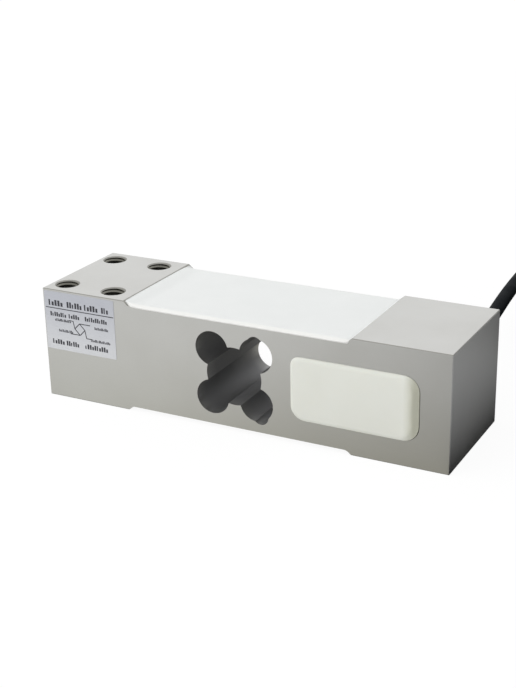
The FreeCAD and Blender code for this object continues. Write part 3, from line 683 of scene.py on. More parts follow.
@dataclass(frozen=True)
class Coloured(Finish):
    """Ink, plastic, rubber, lacquer, plated or enamelled metal: one mottled colour with a fine skin."""

    patches: Flat = (0.5, 0.15)
    stretch: Point = (1.0, 1.0, 1.0)
    grain_scale: float = 3.0
    speckle: float = 0.4
    strength: float = 0.4
    relief: float = 0.01

    def varied(self, graph: NodeGraph) -> dict[str, Socket]:
        """Build the mottled colour and the skin.

        Args:
            graph: The material's graph.

        Returns:
            What each shader input is joined to.
        """
        tone = self.mottled(graph, *self.patches)
        grain = graph.effect(
            FINE_GRAIN.tree(), Stretch=self.stretch, Scale=self.grain_scale, Speckle=self.speckle
        )
        skin = graph.bump(grain["Height"], self.strength, self.relief)
        return {"Base Color": tone["Color"], "Normal": skin, **self.dusted(graph, tone, grain)}

    def dusted(self, graph: NodeGraph, tone: Sockets, grain: Sockets) -> dict[str, Socket]:
        """What the kind of finish adds to the colour: nothing, unless it says so."""
        return {}


@dataclass(frozen=True)
class PrintedInk(Coloured):
    """Screen-printed ink that covers a little unevenly."""

    patches: Flat = (0.5, 1.6)
    grain_scale: float = 8.0
    speckle: float = 0.5
    strength: float = 0.2
    relief: float = 0.005


@dataclass(frozen=True)
class BareMetal(Coloured):
    """Tinned copper, plated steel or enamelled wire."""

    patches: Flat = (0.6, 0.9)
    grain_scale: float = 4.0
    speckle: float = 0.5
    relief: float = 0.015

    def even(self) -> dict[str, object]:
        """Shader values that are the same all over the surface."""
        return {"Metallic": 1.0}


@dataclass(frozen=True)
class Plastic(Coloured):
    """Extruded or moulded plastic, rubber or lacquer, a little dusty in its grain."""

    coat: float = 0.0
    shine: float = 0.5

    def even(self) -> dict[str, object]:
        """Shader values that are the same all over the surface."""
        return {"Coat Weight": self.coat, "Specular IOR Level": self.shine}

    def dusted(self, graph: NodeGraph, tone: Sockets, grain: Sockets) -> dict[str, Socket]:
        """Tint the grain's lines and let the gloss drift with the patches.

        Args:
            graph: The material's graph.
            tone: The mottled colour and its mask.
            grain: The grain's height and its mask.

        Returns:
            What each shader input is joined to.
        """
        dust = graph.times(grain["Mask"], 0.15)
        return {
            "Base Color": graph.blend(dust, tone["Color"], self.tint),
            "Roughness": self.around(graph, tone["Mask"], less=0.04, more=0.08),
        }


@dataclass(frozen=True)
class GaugeFilm(Finish):
    """Amber backing film with the fine foil lines of a strain gauge."""

    foil: Colour = (0.75, 0.62, 0.42)
    line_pitch: float = 0.32
    line_share: float = 0.55
    foil_reach: float = 1.5

    def varied(self, graph: NodeGraph) -> dict[str, Socket]:
        """Build the film and its foil lines.

        Args:
            graph: The material's graph.

        Returns:
            What each shader input is joined to.
        """
        tone = self.mottled(graph, amount=0.4, scale=0.6)
        across = graph.parts(graph.where())[1]
        phase = graph.math("FRACT", graph.math("DIVIDE", graph.math("ADD", across, 50.0), self.line_pitch))
        line = graph.math("LESS_THAN", phase, self.line_share)
        mask = graph.times(line, graph.within(across, self.foil_reach))
        return {
            "Base Color": graph.blend(mask, tone["Color"], self.foil),
            "Metallic": graph.times(mask, 0.9),
            "Normal": graph.bump(mask, strength=0.4, distance=0.01),
        }


class Palette:
    """Every finish of the load cell. Its material is built on first use."""

    BLOCK = MilledAluminium("fine_milled_block", (0.53, 0.53, 0.515), (0.45, 0.445, 0.42), 0.42)
    # painted shade: the thread metal is a darker copy of the block's aluminium, as the holes lie in shade
    TOP_THREAD = ThreadMetal("load_end_thread", (0.24, 0.235, 0.205), (0.16, 0.155, 0.13), 0.40)
    LOW_THREAD = ThreadMetal("fixed_end_thread", (0.24, 0.235, 0.205), (0.16, 0.155, 0.13), 0.40, mouth=0.0)
    # painted highlight: past y = -21 the skin's front bead is painted paler and warmer
    SKIN = Silicone(
        "white_silicone_skin", (0.875, 0.895, 0.885), (0.85, 0.87, 0.86), 0.34, ripple=0.2,
        painted_light_colour=(0.94, 0.94, 0.915), axis=1, far_start=-21.0, far_full=-21.9,
    )
    # painted shade: past x = 59.6 the plug's right rim, which faces away from the light, is painted darker
    # with a greener tint
    PLUG = Silicone(
        "cream_sealing_compound", (0.80, 0.81, 0.75), (0.76, 0.77, 0.695), 0.34, ripple=0.12,
        painted_light_colour=(0.56, 0.56, 0.46), axis=0, far_start=59.6, far_full=63.2, glow=0.08,
    )
    LABEL = LabelFilm("silvery_label_film", (0.50, 0.515, 0.56), (0.45, 0.465, 0.52), 0.35)
    INK = PrintedInk("grey_label_ink", (0.02, 0.02, 0.028), (0.05, 0.05, 0.06), 0.55)
    SHEATH = Plastic(
        "black_cable_sheath", (0.003, 0.0045, 0.006), (0.008, 0.010, 0.012), 0.58, relief=0.02, shine=0.02
    )
    BUSH = Plastic("black_exit_bush", (0.02, 0.02, 0.021), (0.05, 0.05, 0.05), 0.62, relief=0.02)
    SLEEVE = Plastic("shrunk_sleeve", (0.012, 0.012, 0.013), (0.04, 0.04, 0.04), 0.5, relief=0.03)
    TIE = Plastic("natural_nylon_tie", (0.72, 0.71, 0.64), (0.62, 0.60, 0.52), 0.42)
    BOARD = Plastic("green_board_lacquer", (0.02, 0.14, 0.06), (0.03, 0.22, 0.09), 0.3, coat=0.4)
    RESISTOR = Plastic("blue_grey_lacquer", (0.10, 0.18, 0.26), (0.07, 0.12, 0.18), 0.4)
    ELEMENT = Plastic("moulded_element", (0.02, 0.02, 0.02), (0.05, 0.05, 0.05), 0.5)
    STRIP = Plastic("epoxy_strip", (0.50, 0.45, 0.22), (0.42, 0.37, 0.16), 0.45)
    GAUGE = GaugeFilm("amber_gauge_film", (0.45, 0.20, 0.04), (0.36, 0.15, 0.03), 0.35)
    ENAMEL = BareMetal("enamelled_copper", (0.48, 0.16, 0.06), (0.36, 0.11, 0.04), 0.35)
    CRIMP = BareMetal(
        "plated_crimp_ring", (0.55, 0.55, 0.53), (0.42, 0.42, 0.40), 0.35, stretch=(1.0, 6.0, 1.0)
    )
    TIN = BareMetal(
        "tinned_strands", (0.60, 0.60, 0.60), (0.45, 0.45, 0.45), 0.32, stretch=(5.0, 5.0, 5.0)
    )
    RED = Plastic("red_insulation", (0.50, 0.02, 0.015), (0.38, 0.02, 0.015), 0.36)
    BLACK = Plastic("black_insulation", (0.015, 0.015, 0.015), (0.04, 0.04, 0.04), 0.36)
    GREEN = Plastic("green_insulation", (0.02, 0.24, 0.07), (0.02, 0.18, 0.05), 0.36)
    WHITE = Plastic("white_insulation", (0.78, 0.78, 0.74), (0.68, 0.68, 0.62), 0.36)
    YELLOW = Plastic("yellow_insulation", (0.70, 0.48, 0.03), (0.58, 0.38, 0.03), 0.36)


# ---------------------------------------------------------------- block


@dataclass(frozen=True)
class ThreadedHoles:
    """Screw threads in one pad's four blind holes, cut as true helices.

    The bores and their countersinks are in the loaded model, and this is the metal inside them.
    The flanks are shares of the pitch: where the wall ends, and where the crest starts and ends.
    """

    name: str
    mount: str
    finish: Finish
    depth: float
    pitch: float = 1.25
    wall_radius: float = 3.985
    crest_radius: float = 3.36
    mouth_radius: float = 4.4
    first_turn: float = 0.42
    flanks: Point = (0.12, 0.46, 0.66)
    steps: int = 40

    def build(self) -> list[bpy.types.Object]:
        """Build one threaded lining for the pattern's four holes.

        Returns:
            The new piece.
        """
        mount = next(m for m in FRAME["record"]["mounts"] if m["name"] == self.mount)
        centre = [c / MM for c in mount["pos_m"]]
        half_x = mount["dims"]["spacing_x_mm"] / 2
        half_y = mount["dims"]["spacing_y_mm"] / 2
        skin: Skin = ([], [])
        for side_x in (-1, 1):
            for side_y in (-1, 1):
                mouth = (centre[0] + side_x * half_x, centre[1] + side_y * half_y, centre[2])
                skin = both(skin, self._helix(mouth, mount["axis"][2]))
        piece = make_piece(self.name, *skin, Shading.CREASED)
        return [wear(piece, self.finish.material())]

    def _helix(self, mouth: Point, out: float) -> Skin:
        """Cut one hole's thread.

        Args:
            mouth: Centre of the hole's mouth.
            out: Direction out of the hole along Z.

        Returns:
            The vertices and the faces.
        """
        shares = (0.0, *self.flanks)
        form = tuple(zip(shares, (self.wall_radius,) * 2 + (self.crest_radius,) * 2))
        count = len(form)
        total = int((self.depth + self.pitch) / self.pitch) * self.steps
        corners: list[Point] = []
        faces: Faces = []
        for k in range(total + 1):
            angle = 2 * math.pi * k / self.steps
            for share, radius in form:
                sunk = self.pitch * (k / self.steps + share) - self.pitch
                sunk = min(max(sunk, self.first_turn), self.depth)
                r = max(radius, min(self.wall_radius, self.mouth_radius - sunk))
                x = mouth[0] + r * math.cos(angle)
                y = mouth[1] - out * r * math.sin(angle)
                corners.append((x, y, mouth[2] - out * sunk))
        for k in range(total):
            for m in range(count):
                a = k * count + m
                b = a + count
                if m < count - 1:
                    faces.append([a, b, b + 1, a + 1])
                elif k + self.steps < total:
                    turn_below = (k + self.steps) * count
                    faces.append([a, b, turn_below + count, turn_below])
        return corners, faces


@dataclass
class MachinedBlock:
    """The one-piece aluminium body and its threads."""

    threads: tuple = (
        ThreadedHoles("load_end_threads", "load_holes", Palette.TOP_THREAD, 17.0),
        ThreadedHoles("fixed_end_threads", "base_holes", Palette.LOW_THREAD, 6.6),
    )

    def build(self) -> list[bpy.types.Object]:
        """Dress the block and cut its threads.

        Returns:
            The new pieces.
        """
        dress("elastic_body", Palette.BLOCK.material())
        return [piece for threads in self.threads for piece in threads.build()]


# ---------------------------------------------------------------- silicone


@dataclass
class TopSkin:
    """White silicone in the upper recess, with a bead that spills over the front edge.

    Each row of the bead holds how far in from the edge a point lies, its shares of the overhang
    and of the bead's rise, and how far it lies below the skin. The insets are how far the front
    edge draws back at each end, and over what length.
    """

    drop: float = 0.78
    recess: float = 1.8
    pad_length: float = 33.0
    slope: float = 42.0
    left_bare: float = 0.28
    right_bare: float = 0.6
    bead_height: float = 0.2
    overhang: float = 0.8
    spill: float = 0.22
    back_fall: float = 2.8
    back_land: float = 4.0
    climb: float = 0.5
    climb_length: float = 7.0
    bunching: float = 0.45
    left_round: float = 1.2
    right_round: float = 1.1
    flow_length: float = 5.0
    left_inset: Flat = (0.9, 3.5)
    right_inset: Flat = (0.5, 2.0)
    waver: Flat = (0.28, 0.15)
    ripple: float = 0.035
    thinnest: float = 0.05
    foot_gap: float = 0.01
    back_rows: tuple = (0.25, 0.9, 1.6, 2.3)
    bead: tuple = (
        (1.7, 0.0, 0.35, 0.0), (1.2, 0.0, 0.85, 0.0), (0.7, 0.0, 1.0, 0.0), (0.25, 0.0, 0.55, 0.04),
        (0.0, 0.50, 0.0, 0.15), (0.0, 0.90, 0.0, 0.34), (0.0, 1.0, 0.0, 0.55), (0.0, 0.80, 0.0, 0.80),
    )
    top_rows: int = 14
    floor_rows: int = 8
    stations: int = 150

    def __post_init__(self) -> None:
        """Take the recess's edges from the block's box."""
        low, high = cad_box("elastic_body")
        self.edge = high.x - self.pad_length
        self.front = low.y
        self.back = high.y
        self.surface = high.z - self.drop
        self.floor = high.z - self.recess
        self.steep = math.tan(math.radians(self.slope))

    def build(self) -> list[bpy.types.Object]:
        """Build the skin in place of its plain solid.

        Returns:
            The new piece.
        """
        skin = loft([self._ring(i / self.stations) for i in range(self.stations + 1)])
        piece = make_piece("top_silicone_skin", *skin)
        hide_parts("top_coating")
        return [wear(piece, Palette.SKIN.material())]

    def _floor_at(self, x: float) -> float:
        """Height of the bare metal under the skin."""
        foot = self.edge - self.recess / self.steep
        return self.floor + max(0.0, abs(x) - foot) * self.steep

    def _ring(self, share: float) -> list[Point]:
        """Points round the skin at one station, from the back over the top.

        Args:
            share: Station along the skin, 0 at its left end and 1 at its right.

        Returns:
            Points of the closed ring.
        """
        eased = 0.5 - 0.5 * math.cos(math.pi * share)
        share = (1 - self.bunching) * share + self.bunching * eased
        near_left = share * 2 * self.edge
        near_right = (1 - share) * 2 * self.edge
        end = smooth_step((near_left + 0.5) / self.left_round) * smooth_step(near_right / self.right_round)
        flow = smooth_step((near_left - 1.0) / self.flow_length)
        flow *= smooth_step((near_right + 0.3) / self.right_round)
        ring = []
        for y, z in self._outline(near_left, near_right, flow):
            left = -self.edge + self.left_bare + self.waver[0] * wander(y * 0.22, 0.0, 4.0)
            right = self.edge - self.right_bare + self.waver[1] * wander(y * 0.25, 9.0, 4.0)
            x = left + (right - left) * share
            ground = self._floor_at(x)
            wave = self.ripple * wander(x * 0.07, y * 0.09, 2.0)
            if z > self.floor + 0.03:
                z = ground + self.thinnest + max(0.0, z + wave - ground - self.thinnest) * end
            elif z > self.floor - 0.001 or flow <= 0.02:
                z = ground + self.foot_gap
            ring.append((x, y, z))
        return ring

    def _outline(self, near_left: float, near_right: float, flow: float) -> list[Flat]:
        """Outline of the skin across the block, before it is seated on the metal.

        Args:
            near_left: Distance from the left end.
            near_right: Distance from the right end.
            flow: Share of the full bead, 0 at both ends.

        Returns:
            Points as their y and z.
        """
        uneven = 0.5 + 0.5 * wander((near_left - self.edge) * 0.16, 3.1, 1.7)
        wide = self.overhang * flow * (0.75 + 0.5 * uneven)
        rise = self.bead_height * (0.4 + 0.6 * flow) * (0.7 + 0.6 * uneven)
        low = self.floor - self.spill * flow * (0.8 + 0.45 * uneven)
        top = self.surface + self.climb * (1 - smooth_step(near_left / self.climb_length))
        inset = self.left_inset[0] * (1 - smooth_step(near_left / self.left_inset[1]))
        inset += self.right_inset[0] * (1 - smooth_step(near_right / self.right_inset[1]))
        front = self.front + inset
        outline = [(self.back - 0.05, self.floor + 0.05)]
        for back in (*self.back_rows, self.back_fall, self.back_land):
            fall = max(0.0, 1.0 - back / self.back_fall)
            outline.append((self.back - back, top - (top - self.floor - 0.1) * fall))
        land = self.back - self.back_land
        for k in range(1, self.top_rows + 1):
            outline.append((land - k * (land - front - 2.2) / self.top_rows, top))
        for inward, over, lift, below in self.bead:
            outline.append((front + inward - over * wide, top + lift * rise - below))
        outline += [
            (front - 0.45 * wide, 0.6 * low + 0.4 * (top - self.bead[-1][3])),
            (front - 0.15 * wide, low + 0.08),
            (front + 0.02, low - 0.01),
            (front + 0.25, min(low + 0.3, self.floor - 0.02)),
        ]
        for k in range(self.floor_rows):
            outline.append((front + 0.4 + k * (self.back - front - 1.0) / self.floor_rows, self.floor + 0.02))
        return outline


@dataclass
class LowerSkin:
    """White silicone in the lower recess, brushed on inside the block's edges."""

    recess: float = 1.5
    thickness: float = 0.9
    thin_edge: float = 0.06
    thinnest: float = 0.05
    bare_end: float = 1.2
    waver: Flat = (0.35, 0.45)
    ripple: float = 0.03
    end_steepness: Flat = (6.0, 5.0)
    overlap: float = 0.02
    rows: int = 90
    columns: int = 40

    def build(self) -> list[bpy.types.Object]:
        """Build the skin in place of its plain solid.

        Returns:
            The new piece.
        """
        _, high = cad_box("bottom_coating")
        rings = [self._ring(-1 + 2 * i / self.rows, high) for i in range(self.rows + 1)]
        piece = make_piece("lower_silicone_skin", *loft(rings))
        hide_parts("bottom_coating")
        return [wear(piece, Palette.SKIN.material())]

    def _ring(self, x_share: float, reach: Vector) -> list[Point]:
        """Points round the skin at one place along the block.

        Args:
            x_share: Place along the skin, -1 at its left end and 1 at its right.
            reach: Half the recess's length and width.

        Returns:
            Points of the closed ring.
        """
        top: list[Point] = []
        under: list[Point] = []
        for j in range(self.columns + 1):
            y_share = -1 + 2 * j / self.columns
            x = x_share * (reach.x - self.bare_end + self.waver[0] * wander(y_share * 4.0, 0.0, 7.0))
            y = y_share * (reach.y + self.waver[1] * wander(x_share * 9.0, 0.0, 5.0))
            steep_x, steep_y = self.end_steepness
            edge = min(1.0, steep_x * (1 - abs(x_share)), steep_y * (1 - abs(y_share)))
            thick = self.thin_edge + (self.thickness - self.thin_edge) * math.sqrt(1 - (1 - edge) ** 2)
            wave = self.ripple * wander(x * 0.1, y * 0.1, 6.0)
            top.append((x, y, self.recess - self.overlap))
            under.append((x, y, self.recess - max(self.thinnest, thick + wave)))
        return top + under[::-1]


@dataclass
class PocketPlug:
    """Cream compound that seals the wiring pocket and swells past the block's face.

    Corner radii run from the lower right one and up. The rim's rows are shares of its width, and
    the middle's rows are sizes of the last rim row as it shrinks to the centre.
    """

    corner: float = 5.5
    spread_corners: tuple = (5.2, 5.0, 3.1, 4.9)
    swell: float = 0.8
    rim: float = 1.7
    right_swell: float = 1.35
    right_rim: float = 2.3
    right_length: float = 6.0
    crown: float = 0.8
    crown_reach: Flat = (22.5, 11.5)
    waver: Flat = (0.1, 0.13)
    calm_foot: float = 0.6
    ripple: float = 0.03
    proud: float = 0.02
    gap: float = 0.05
    gap_right: float = 0.22
    around: int = 112
    wall_rows: Flat = (0.9, 0.25)
    rim_rows: tuple = (0.02, 0.07, 0.15, 0.25, 0.37, 0.5, 0.63, 0.76, 0.88, 1.0, 1.15, 1.35)
    middle_rows: tuple = (0.92, 0.8, 0.66, 0.5, 0.36, 0.22, 0.1, 0.02)

    def __post_init__(self) -> None:
        """Take the pocket's place and size from the loaded model."""
        low, high = cad_box("pocket_potting")
        self.face = cad_box("elastic_body")[0].y
        self.back = high.y
        self.half_x = (high.x - low.x - self.gap - self.gap_right) / 2
        self.half_z = (high.z - low.z) / 2 - self.gap
        self.middle = (low.x + self.gap + self.half_x, (low.z + high.z) / 2)

    def build(self) -> list[bpy.types.Object]:
        """Build the plug in place of its plain solid.

        Returns:
            The new piece.
        """
        inner = self._outline((self.corner,) * 4)
        edge = self._edge()
        rings = [self._flat(inner, y) for y in (self.back, *(self.face + row for row in self.wall_rows))]
        rings.append(self._flat(edge, self.face - self.proud))
        for share in self.rim_rows:
            row = zip(self._rim(edge, share), edge)
            rings.append([self._surface(p, share, self._right(x)) for p, (x, _) in row])
        last = self.rim_rows[-1]
        for size in self.middle_rows:
            row = self._rim(edge, last)
            rings.append([self._surface(p * size, last, self._right(p.x * size)) for p in row])
        piece = make_piece("pocket_sealing_plug", *loft(rings))
        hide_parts("pocket_potting")
        return [wear(piece, Palette.PLUG.material())]

    def _edge(self) -> list[Flat]:
        """Let the plug's edge waver where it has spread on the block's face.

        Returns:
            Points from the middle of the plug.
        """
        edge = []
        for x, z in self._outline(self.spread_corners):
            calm = 1 if z > 0 else self.calm_foot
            aside = self.waver[0] * wander(z * 0.35, 0.0, 3.0)
            lifted = self.waver[1] * wander(x * 0.35, 5.0, 3.0) * calm
            edge.append((x + aside, z + lifted))
        return edge

    def _rim(self, edge: Sequence[Flat], share: float) -> list[Vector]:
        """Draw the edge in towards the plug's spine.

        Args:
            edge: The plug's wavering edge.
            share: How far in, as a share of the rim's width.

        Returns:
            Points from the middle of the plug.
        """
        spine = self.half_x - self.half_z
        row = []
        for x, z in edge:
            place = Vector((x, z))
            out = place - Vector((min(max(x, -spine), spine), 0.0))
            width = self.rim + (self.right_rim - self.rim) * self._right(x)
            row.append(place - out * min(1.0, share * width / out.length))
        return row

    def _flat(self, outline: Iterable[Flat], y: float) -> list[Point]:
        """An outline as a ring at one depth."""
        return [(self.middle[0] + x, y, self.middle[1] + z) for x, z in outline]

    def _right(self, x: float) -> float:
        """Share of the right end's extra swelling, from none to 1 at the very end."""
        return smooth_step((x - self.half_x + self.right_length) / self.right_length)

    def _surface(self, p: Vector, share: float, right: float) -> Point:
        """Point of the swollen face.

        Args:
            p: Place from the plug's centre.
            share: 0 at the edge, 1 or more past the rounded rim.
            right: Share of the right end's extra swelling.

        Returns:
            The point.
        """
        near = min(1.0, share)
        bulge = math.sqrt(max(0.0, 1 - (1 - near) ** 2))
        steep = smooth_step(min(1.0, near * 1.02))
        rise = self.swell + (self.right_swell - self.swell) * right
        rise *= bulge + (0.65 * steep + 0.35 * near - bulge) * 0.8 * right
        dome = max(0.0, 1 - (p.x / self.crown_reach[0]) ** 2) * max(0.0, 1 - (p.y / self.crown_reach[1]) ** 2)
        height = rise + self.crown * dome + self.ripple * wander(p.x * 0.12, p.y * 0.15, 8.0) * near
        return (self.middle[0] + p.x, self.face - height - self.proud, self.middle[1] + p.y)

    def _outline(self, radii: Sequence[float]) -> list[Flat]:
        """Points round the plug with its own radius at each corner, evenly spaced along it.

        Args:
            radii: Corner radii, from the lower right one and up.

        Returns:
            Points from the middle of the plug.
        """
        low, high = (-self.half_x, -self.half_z), (self.half_x, self.half_z)
        return self._even(round_outline(low, high, radii, self.around // 4 - 1))

    def _even(self, points: list[Flat]) -> list[Flat]:
        """Space an outline's points evenly.

        Args:
            points: The closed outline.

        Returns:
            The same outline with its points at equal steps.
        """
        closed = points + points[:1]
        lengths = [math.dist(a, b) for a, b in zip(closed, closed[1:])]
        total = sum(lengths)
        made = []
        index, walked = 0, 0.0
        for k in range(self.around):
            target = total * k / self.around
            while walked + lengths[index] < target:
                walked += lengths[index]
                index += 1
            share = (target - walked) / lengths[index] if lengths[index] else 0.0
            a, b = closed[index], closed[index + 1]
            made.append((a[0] + (b[0] - a[0]) * share, a[1] + (b[1] - a[1]) * share))
        return made


# ---------------------------------------------------------------- label


@dataclass
class RatingLabel:
    """Silvery label with a plain ruled layout and a generic bridge diagram.

    Its rows are plain blocks of tone: it carries no words. Each row holds its height on the label,
    how tall its blocks are, and the start and length of each run of them. Each lead of the diagram
    holds the number of the tip it leaves and its corners from the diagram's centre.
    """

    corner: float = 0.35
    film: float = 0.1
    ink: float = 0.02
    line: float = 0.3
    header_rule: float = 15.3
    rows: tuple = (
        (17.2, 2.5, ((1.8, 6.2), (9.4, 6.4), (16.6, 5.8), (23.6, 3.0))),
        (13.1, 1.9, ((2.2, 6.8), (9.9, 4.6), (16.6, 9.2))),
        (11.1, 1.15, ((4.0, 6.8),)),
        (10.2, 1.15, ((20.4, 5.6),)),
        (7.3, 1.15, ((5.4, 6.0),)),
        (5.5, 1.15, ((18.6, 8.0),)),
        (2.9, 2.1, ((2.4, 5.2), (8.2, 5.4), (16.0, 9.6))),
    )
    block_step: float = 0.46
    block_widths: Flat = (0.7, 0.48)
    block_height: float = 0.84
    block_dip: float = 0.26
    diamond: Flat = (14.2, 8.8)
    reach: float = 2.1
    leads: tuple = (
        (0, (4.4, 2.1)), (1, (2.6, -2.9), (4.8, -2.9)), (2, (-4.0, -2.1)), (3, (-2.6, 2.7), (-4.4, 2.7)),
    )

    def __post_init__(self) -> None:
        """Take the label's place and size from the loaded model."""
        low, high = cad_box("rating_label")
        self.origin = (low.x, low.z)
        self.size = (high.x - low.x, high.z - low.z)
        self.back = high.y
        self.face = high.y - self.film

    def build(self) -> list[bpy.types.Object]:
        """Build the film and its print."""
        return [self._film(), self._print()]

    def _film(self) -> bpy.types.Object:
        """Build the film, with rounded corners and a soft edge.

        Returns:
            The new piece.
        """
        rings = []
        top = (self.origin[0] + self.size[0], self.origin[1] + self.size[1])
        for y, inset in ((self.back - 0.005, 0.0), (self.face + 0.03, 0.0), (self.face, 0.03)):
            outline = round_outline(self.origin, top, (self.corner,) * 4, 5, proud=-inset)
            rings.append([(x, y, z) for x, z in outline])
        piece = make_piece("rating_label_film", *loft(rings), Shading.CREASED)
        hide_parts("rating_label")
        return wear(piece, Palette.LABEL.material())

    def _print(self) -> bpy.types.Object:
        """Build the rule, the blocks of tone and the bridge diagram.

        Returns:
            The new piece.
        """
        bars = [self._bar((0.5, self.header_rule), (self.size[0] - 0.3, self.header_rule), self.line)]
        for height, tall, runs in self.rows:
            for start, length in runs:
                bars += self._run(start, height, length, tall)
        x, z = self.diamond
        tips = [(x, z + self.reach), (x + self.reach, z), (x, z - self.reach), (x - self.reach, z)]
        paths = [[tips[tip], *((x + right, z + up) for right, up in corners)] for tip, *corners in self.leads]
        for path in (tips + tips[:1], *paths):
            bars += [self._bar(a, b, self.line) for a, b in zip(path, path[1:])]
        skin: Skin = ([], [])
        for bar in bars:
            slab = [(self.origin[0] + x, y, self.origin[1] + z) for y in self._ink_depths() for x, z in bar]
            sides = [[(k + 1) % 4, k, 4 + k, 4 + (k + 1) % 4] for k in range(4)]
            skin = both(skin, (slab, [[0, 1, 2, 3]] + sides))
        piece = make_piece("rating_label_print", *skin, Shading.FLAT)
        return wear(piece, Palette.INK.material())

    def _ink_depths(self) -> Flat:
        """Front and back of the print, which starts just clear of the film."""
        return (self.face - self.ink, self.face - 0.002)

    def _run(self, start: float, height: float, length: float, tall: float) -> list[list[Flat]]:
        """Small blocks that give a row its tone.

        Args:
            start: Where the run starts along the label.
            height: Height of its middle.
            length: Its length.
            tall: Height of the row.

        Returns:
            Corners of each block.
        """
        count = max(3, round(length / (self.block_step * tall)))
        step = length / count
        blocks = []
        for k in range(count):
            x = start + k * step
            wide = self.block_widths[(k * 7 + count) % 5 == 0] * step
            dip = self.block_dip * tall * ((k * 5 + count) % 3 == 1)
            middle = height - dip / 2
            blocks.append(self._bar((x, middle), (x + wide, middle), self.block_height * tall - dip))
        return blocks

    @staticmethod
    def _bar(a: Flat, b: Flat, wide: float) -> list[Flat]:
        """Straight bar between two points of the label.

        Args:
            a: Middle of one end.
            b: Middle of the other end.
            wide: Width of the bar.

        Returns:
            Its four corners.
        """
        along = Vector((b[0] - a[0], b[1] - a[1])).normalized()
        side = Vector((-along.y, along.x)) * wide / 2
        return [
            (a[0] - side.x, a[1] - side.y), (b[0] - side.x, b[1] - side.y),
            (b[0] + side.x, b[1] + side.y), (a[0] + side.x, a[1] + side.y),
        ]


# ---------------------------------------------------------------- cable


COIL_CENTRE = (98.1, 121.5)


@dataclass
class SignalCable:
    """Sheathed cable: out of the block, round in a loose curve and into a small tied coil.

    The columns are the radii of the coil's turns, and the first turn starts one pitch outside them.
    The length is the whole cable's, in metres, and is not used.
    """

    diameter: float = 5.3
    exit_point: Point = (59.5, 22.0, 19.85)
    route: tuple = (
        (59.5, -3.0, 19.85),
        (59.5, 33.0, 19.85),
        (58.2, 64.0, 19.1),
        (54.7, 92.0, 18.4),
        (52.3, 113.0, 17.2),
        (50.0, 134.0, 15.6),
        (50.6, 146.5, 12.6),
        (56.2, 157.2, 9.0),
        (67.3, 163.2, 5.9),
        (80.1, 163.8, 3.9),
        (91.1, 163.8, 3.9),
    )
    columns: Point = (36.9, 31.5, 26.1)
    pitch: float = 5.4
    first_layer: float = 3.9
    shift_angle: float = 84.0
    points_per_turn: int = 18
    riser_bulge: float = 2.0
    last_turn: float = 260.0
    length: float = 1.93
    resolution: int = 5

    def build(self) -> list[bpy.types.Object]:
        """Build the cable in place of its plain solids.

        Returns:
            The new piece.
        """
        points = [Vector(p) for p in self.route] + self._coil_points()
        curve = bpy.data.curves.new("signal_cable_run", "CURVE")
        curve.dimensions = "3D"
        spline = curve.splines.new("NURBS")
        spline.points.add(len(points) - 1)
        for place, point in zip(spline.points, points):
            place.co = (*(point * MM), 1.0)
            place.radius = self.diameter / 2 * MM
        spline.order_u = 3
        spline.use_endpoint_u = True
        spline.resolution_u = self.resolution
        curve.bevel_depth = 1.0
        curve.bevel_resolution = self.resolution
        curve.use_fill_caps = True
        self.piece = add_object("signal_cable_run", curve)
        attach(self.piece, ROOT)
        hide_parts("signal_cable", "cable_coil")
        return [wear(self.piece, Palette.SHEATH.material())]

    def _coil_points(self) -> list[Vector]:
        """Wind the coil: inwards, up, outwards, up and inwards again.

        Returns:
            Points of the turns, for a curve that passes inside its points.
        """
        wound = self.columns + self.columns[::-1] + self.columns
        radii = (self.columns[0] + self.pitch,) + wound
        step = 360.0 / self.points_per_turn
        shrink = 0.75 + 0.25 * math.cos(math.radians(step))
        points = []
        for turn in range(len(wound)):
            layer = turn // len(self.columns)
            rising = turn and turn % len(self.columns) == 0
            for k in range(self.points_per_turn):
                angle = k * step
                if turn == len(wound) - 1 and angle > self.last_turn:
                    break
                share = smooth_step(angle / self.shift_angle)
                radius = radii[turn] + (radii[turn + 1] - radii[turn]) * share
                height = self.first_layer + self.pitch * layer
                if rising:
                    height += self.pitch * (share - 1)
                    side = 1 if radius > self.columns[1] else -1
                    radius += side * self.riser_bulge * math.sin(math.pi * share)
                points.append(self._on_turn(radius / shrink, angle, height))
        points.append(self._on_turn(self.columns[-1], self.last_turn, points[-1].z))
        return points

    def _on_turn(self, radius: float, angle: float, height: float) -> Vector:
        """Place a point on a turn.

        Args:
            radius: Distance from the coil's centre.
            angle: Degrees clockwise from the coil's back.
            height: Height of the point.

        Returns:
            The point.
        """
        turn = math.radians(90.0 - angle)
        x = COIL_CENTRE[0] + radius * math.cos(turn)
        return Vector((x, COIL_CENTRE[1] + radius * math.sin(turn), height))


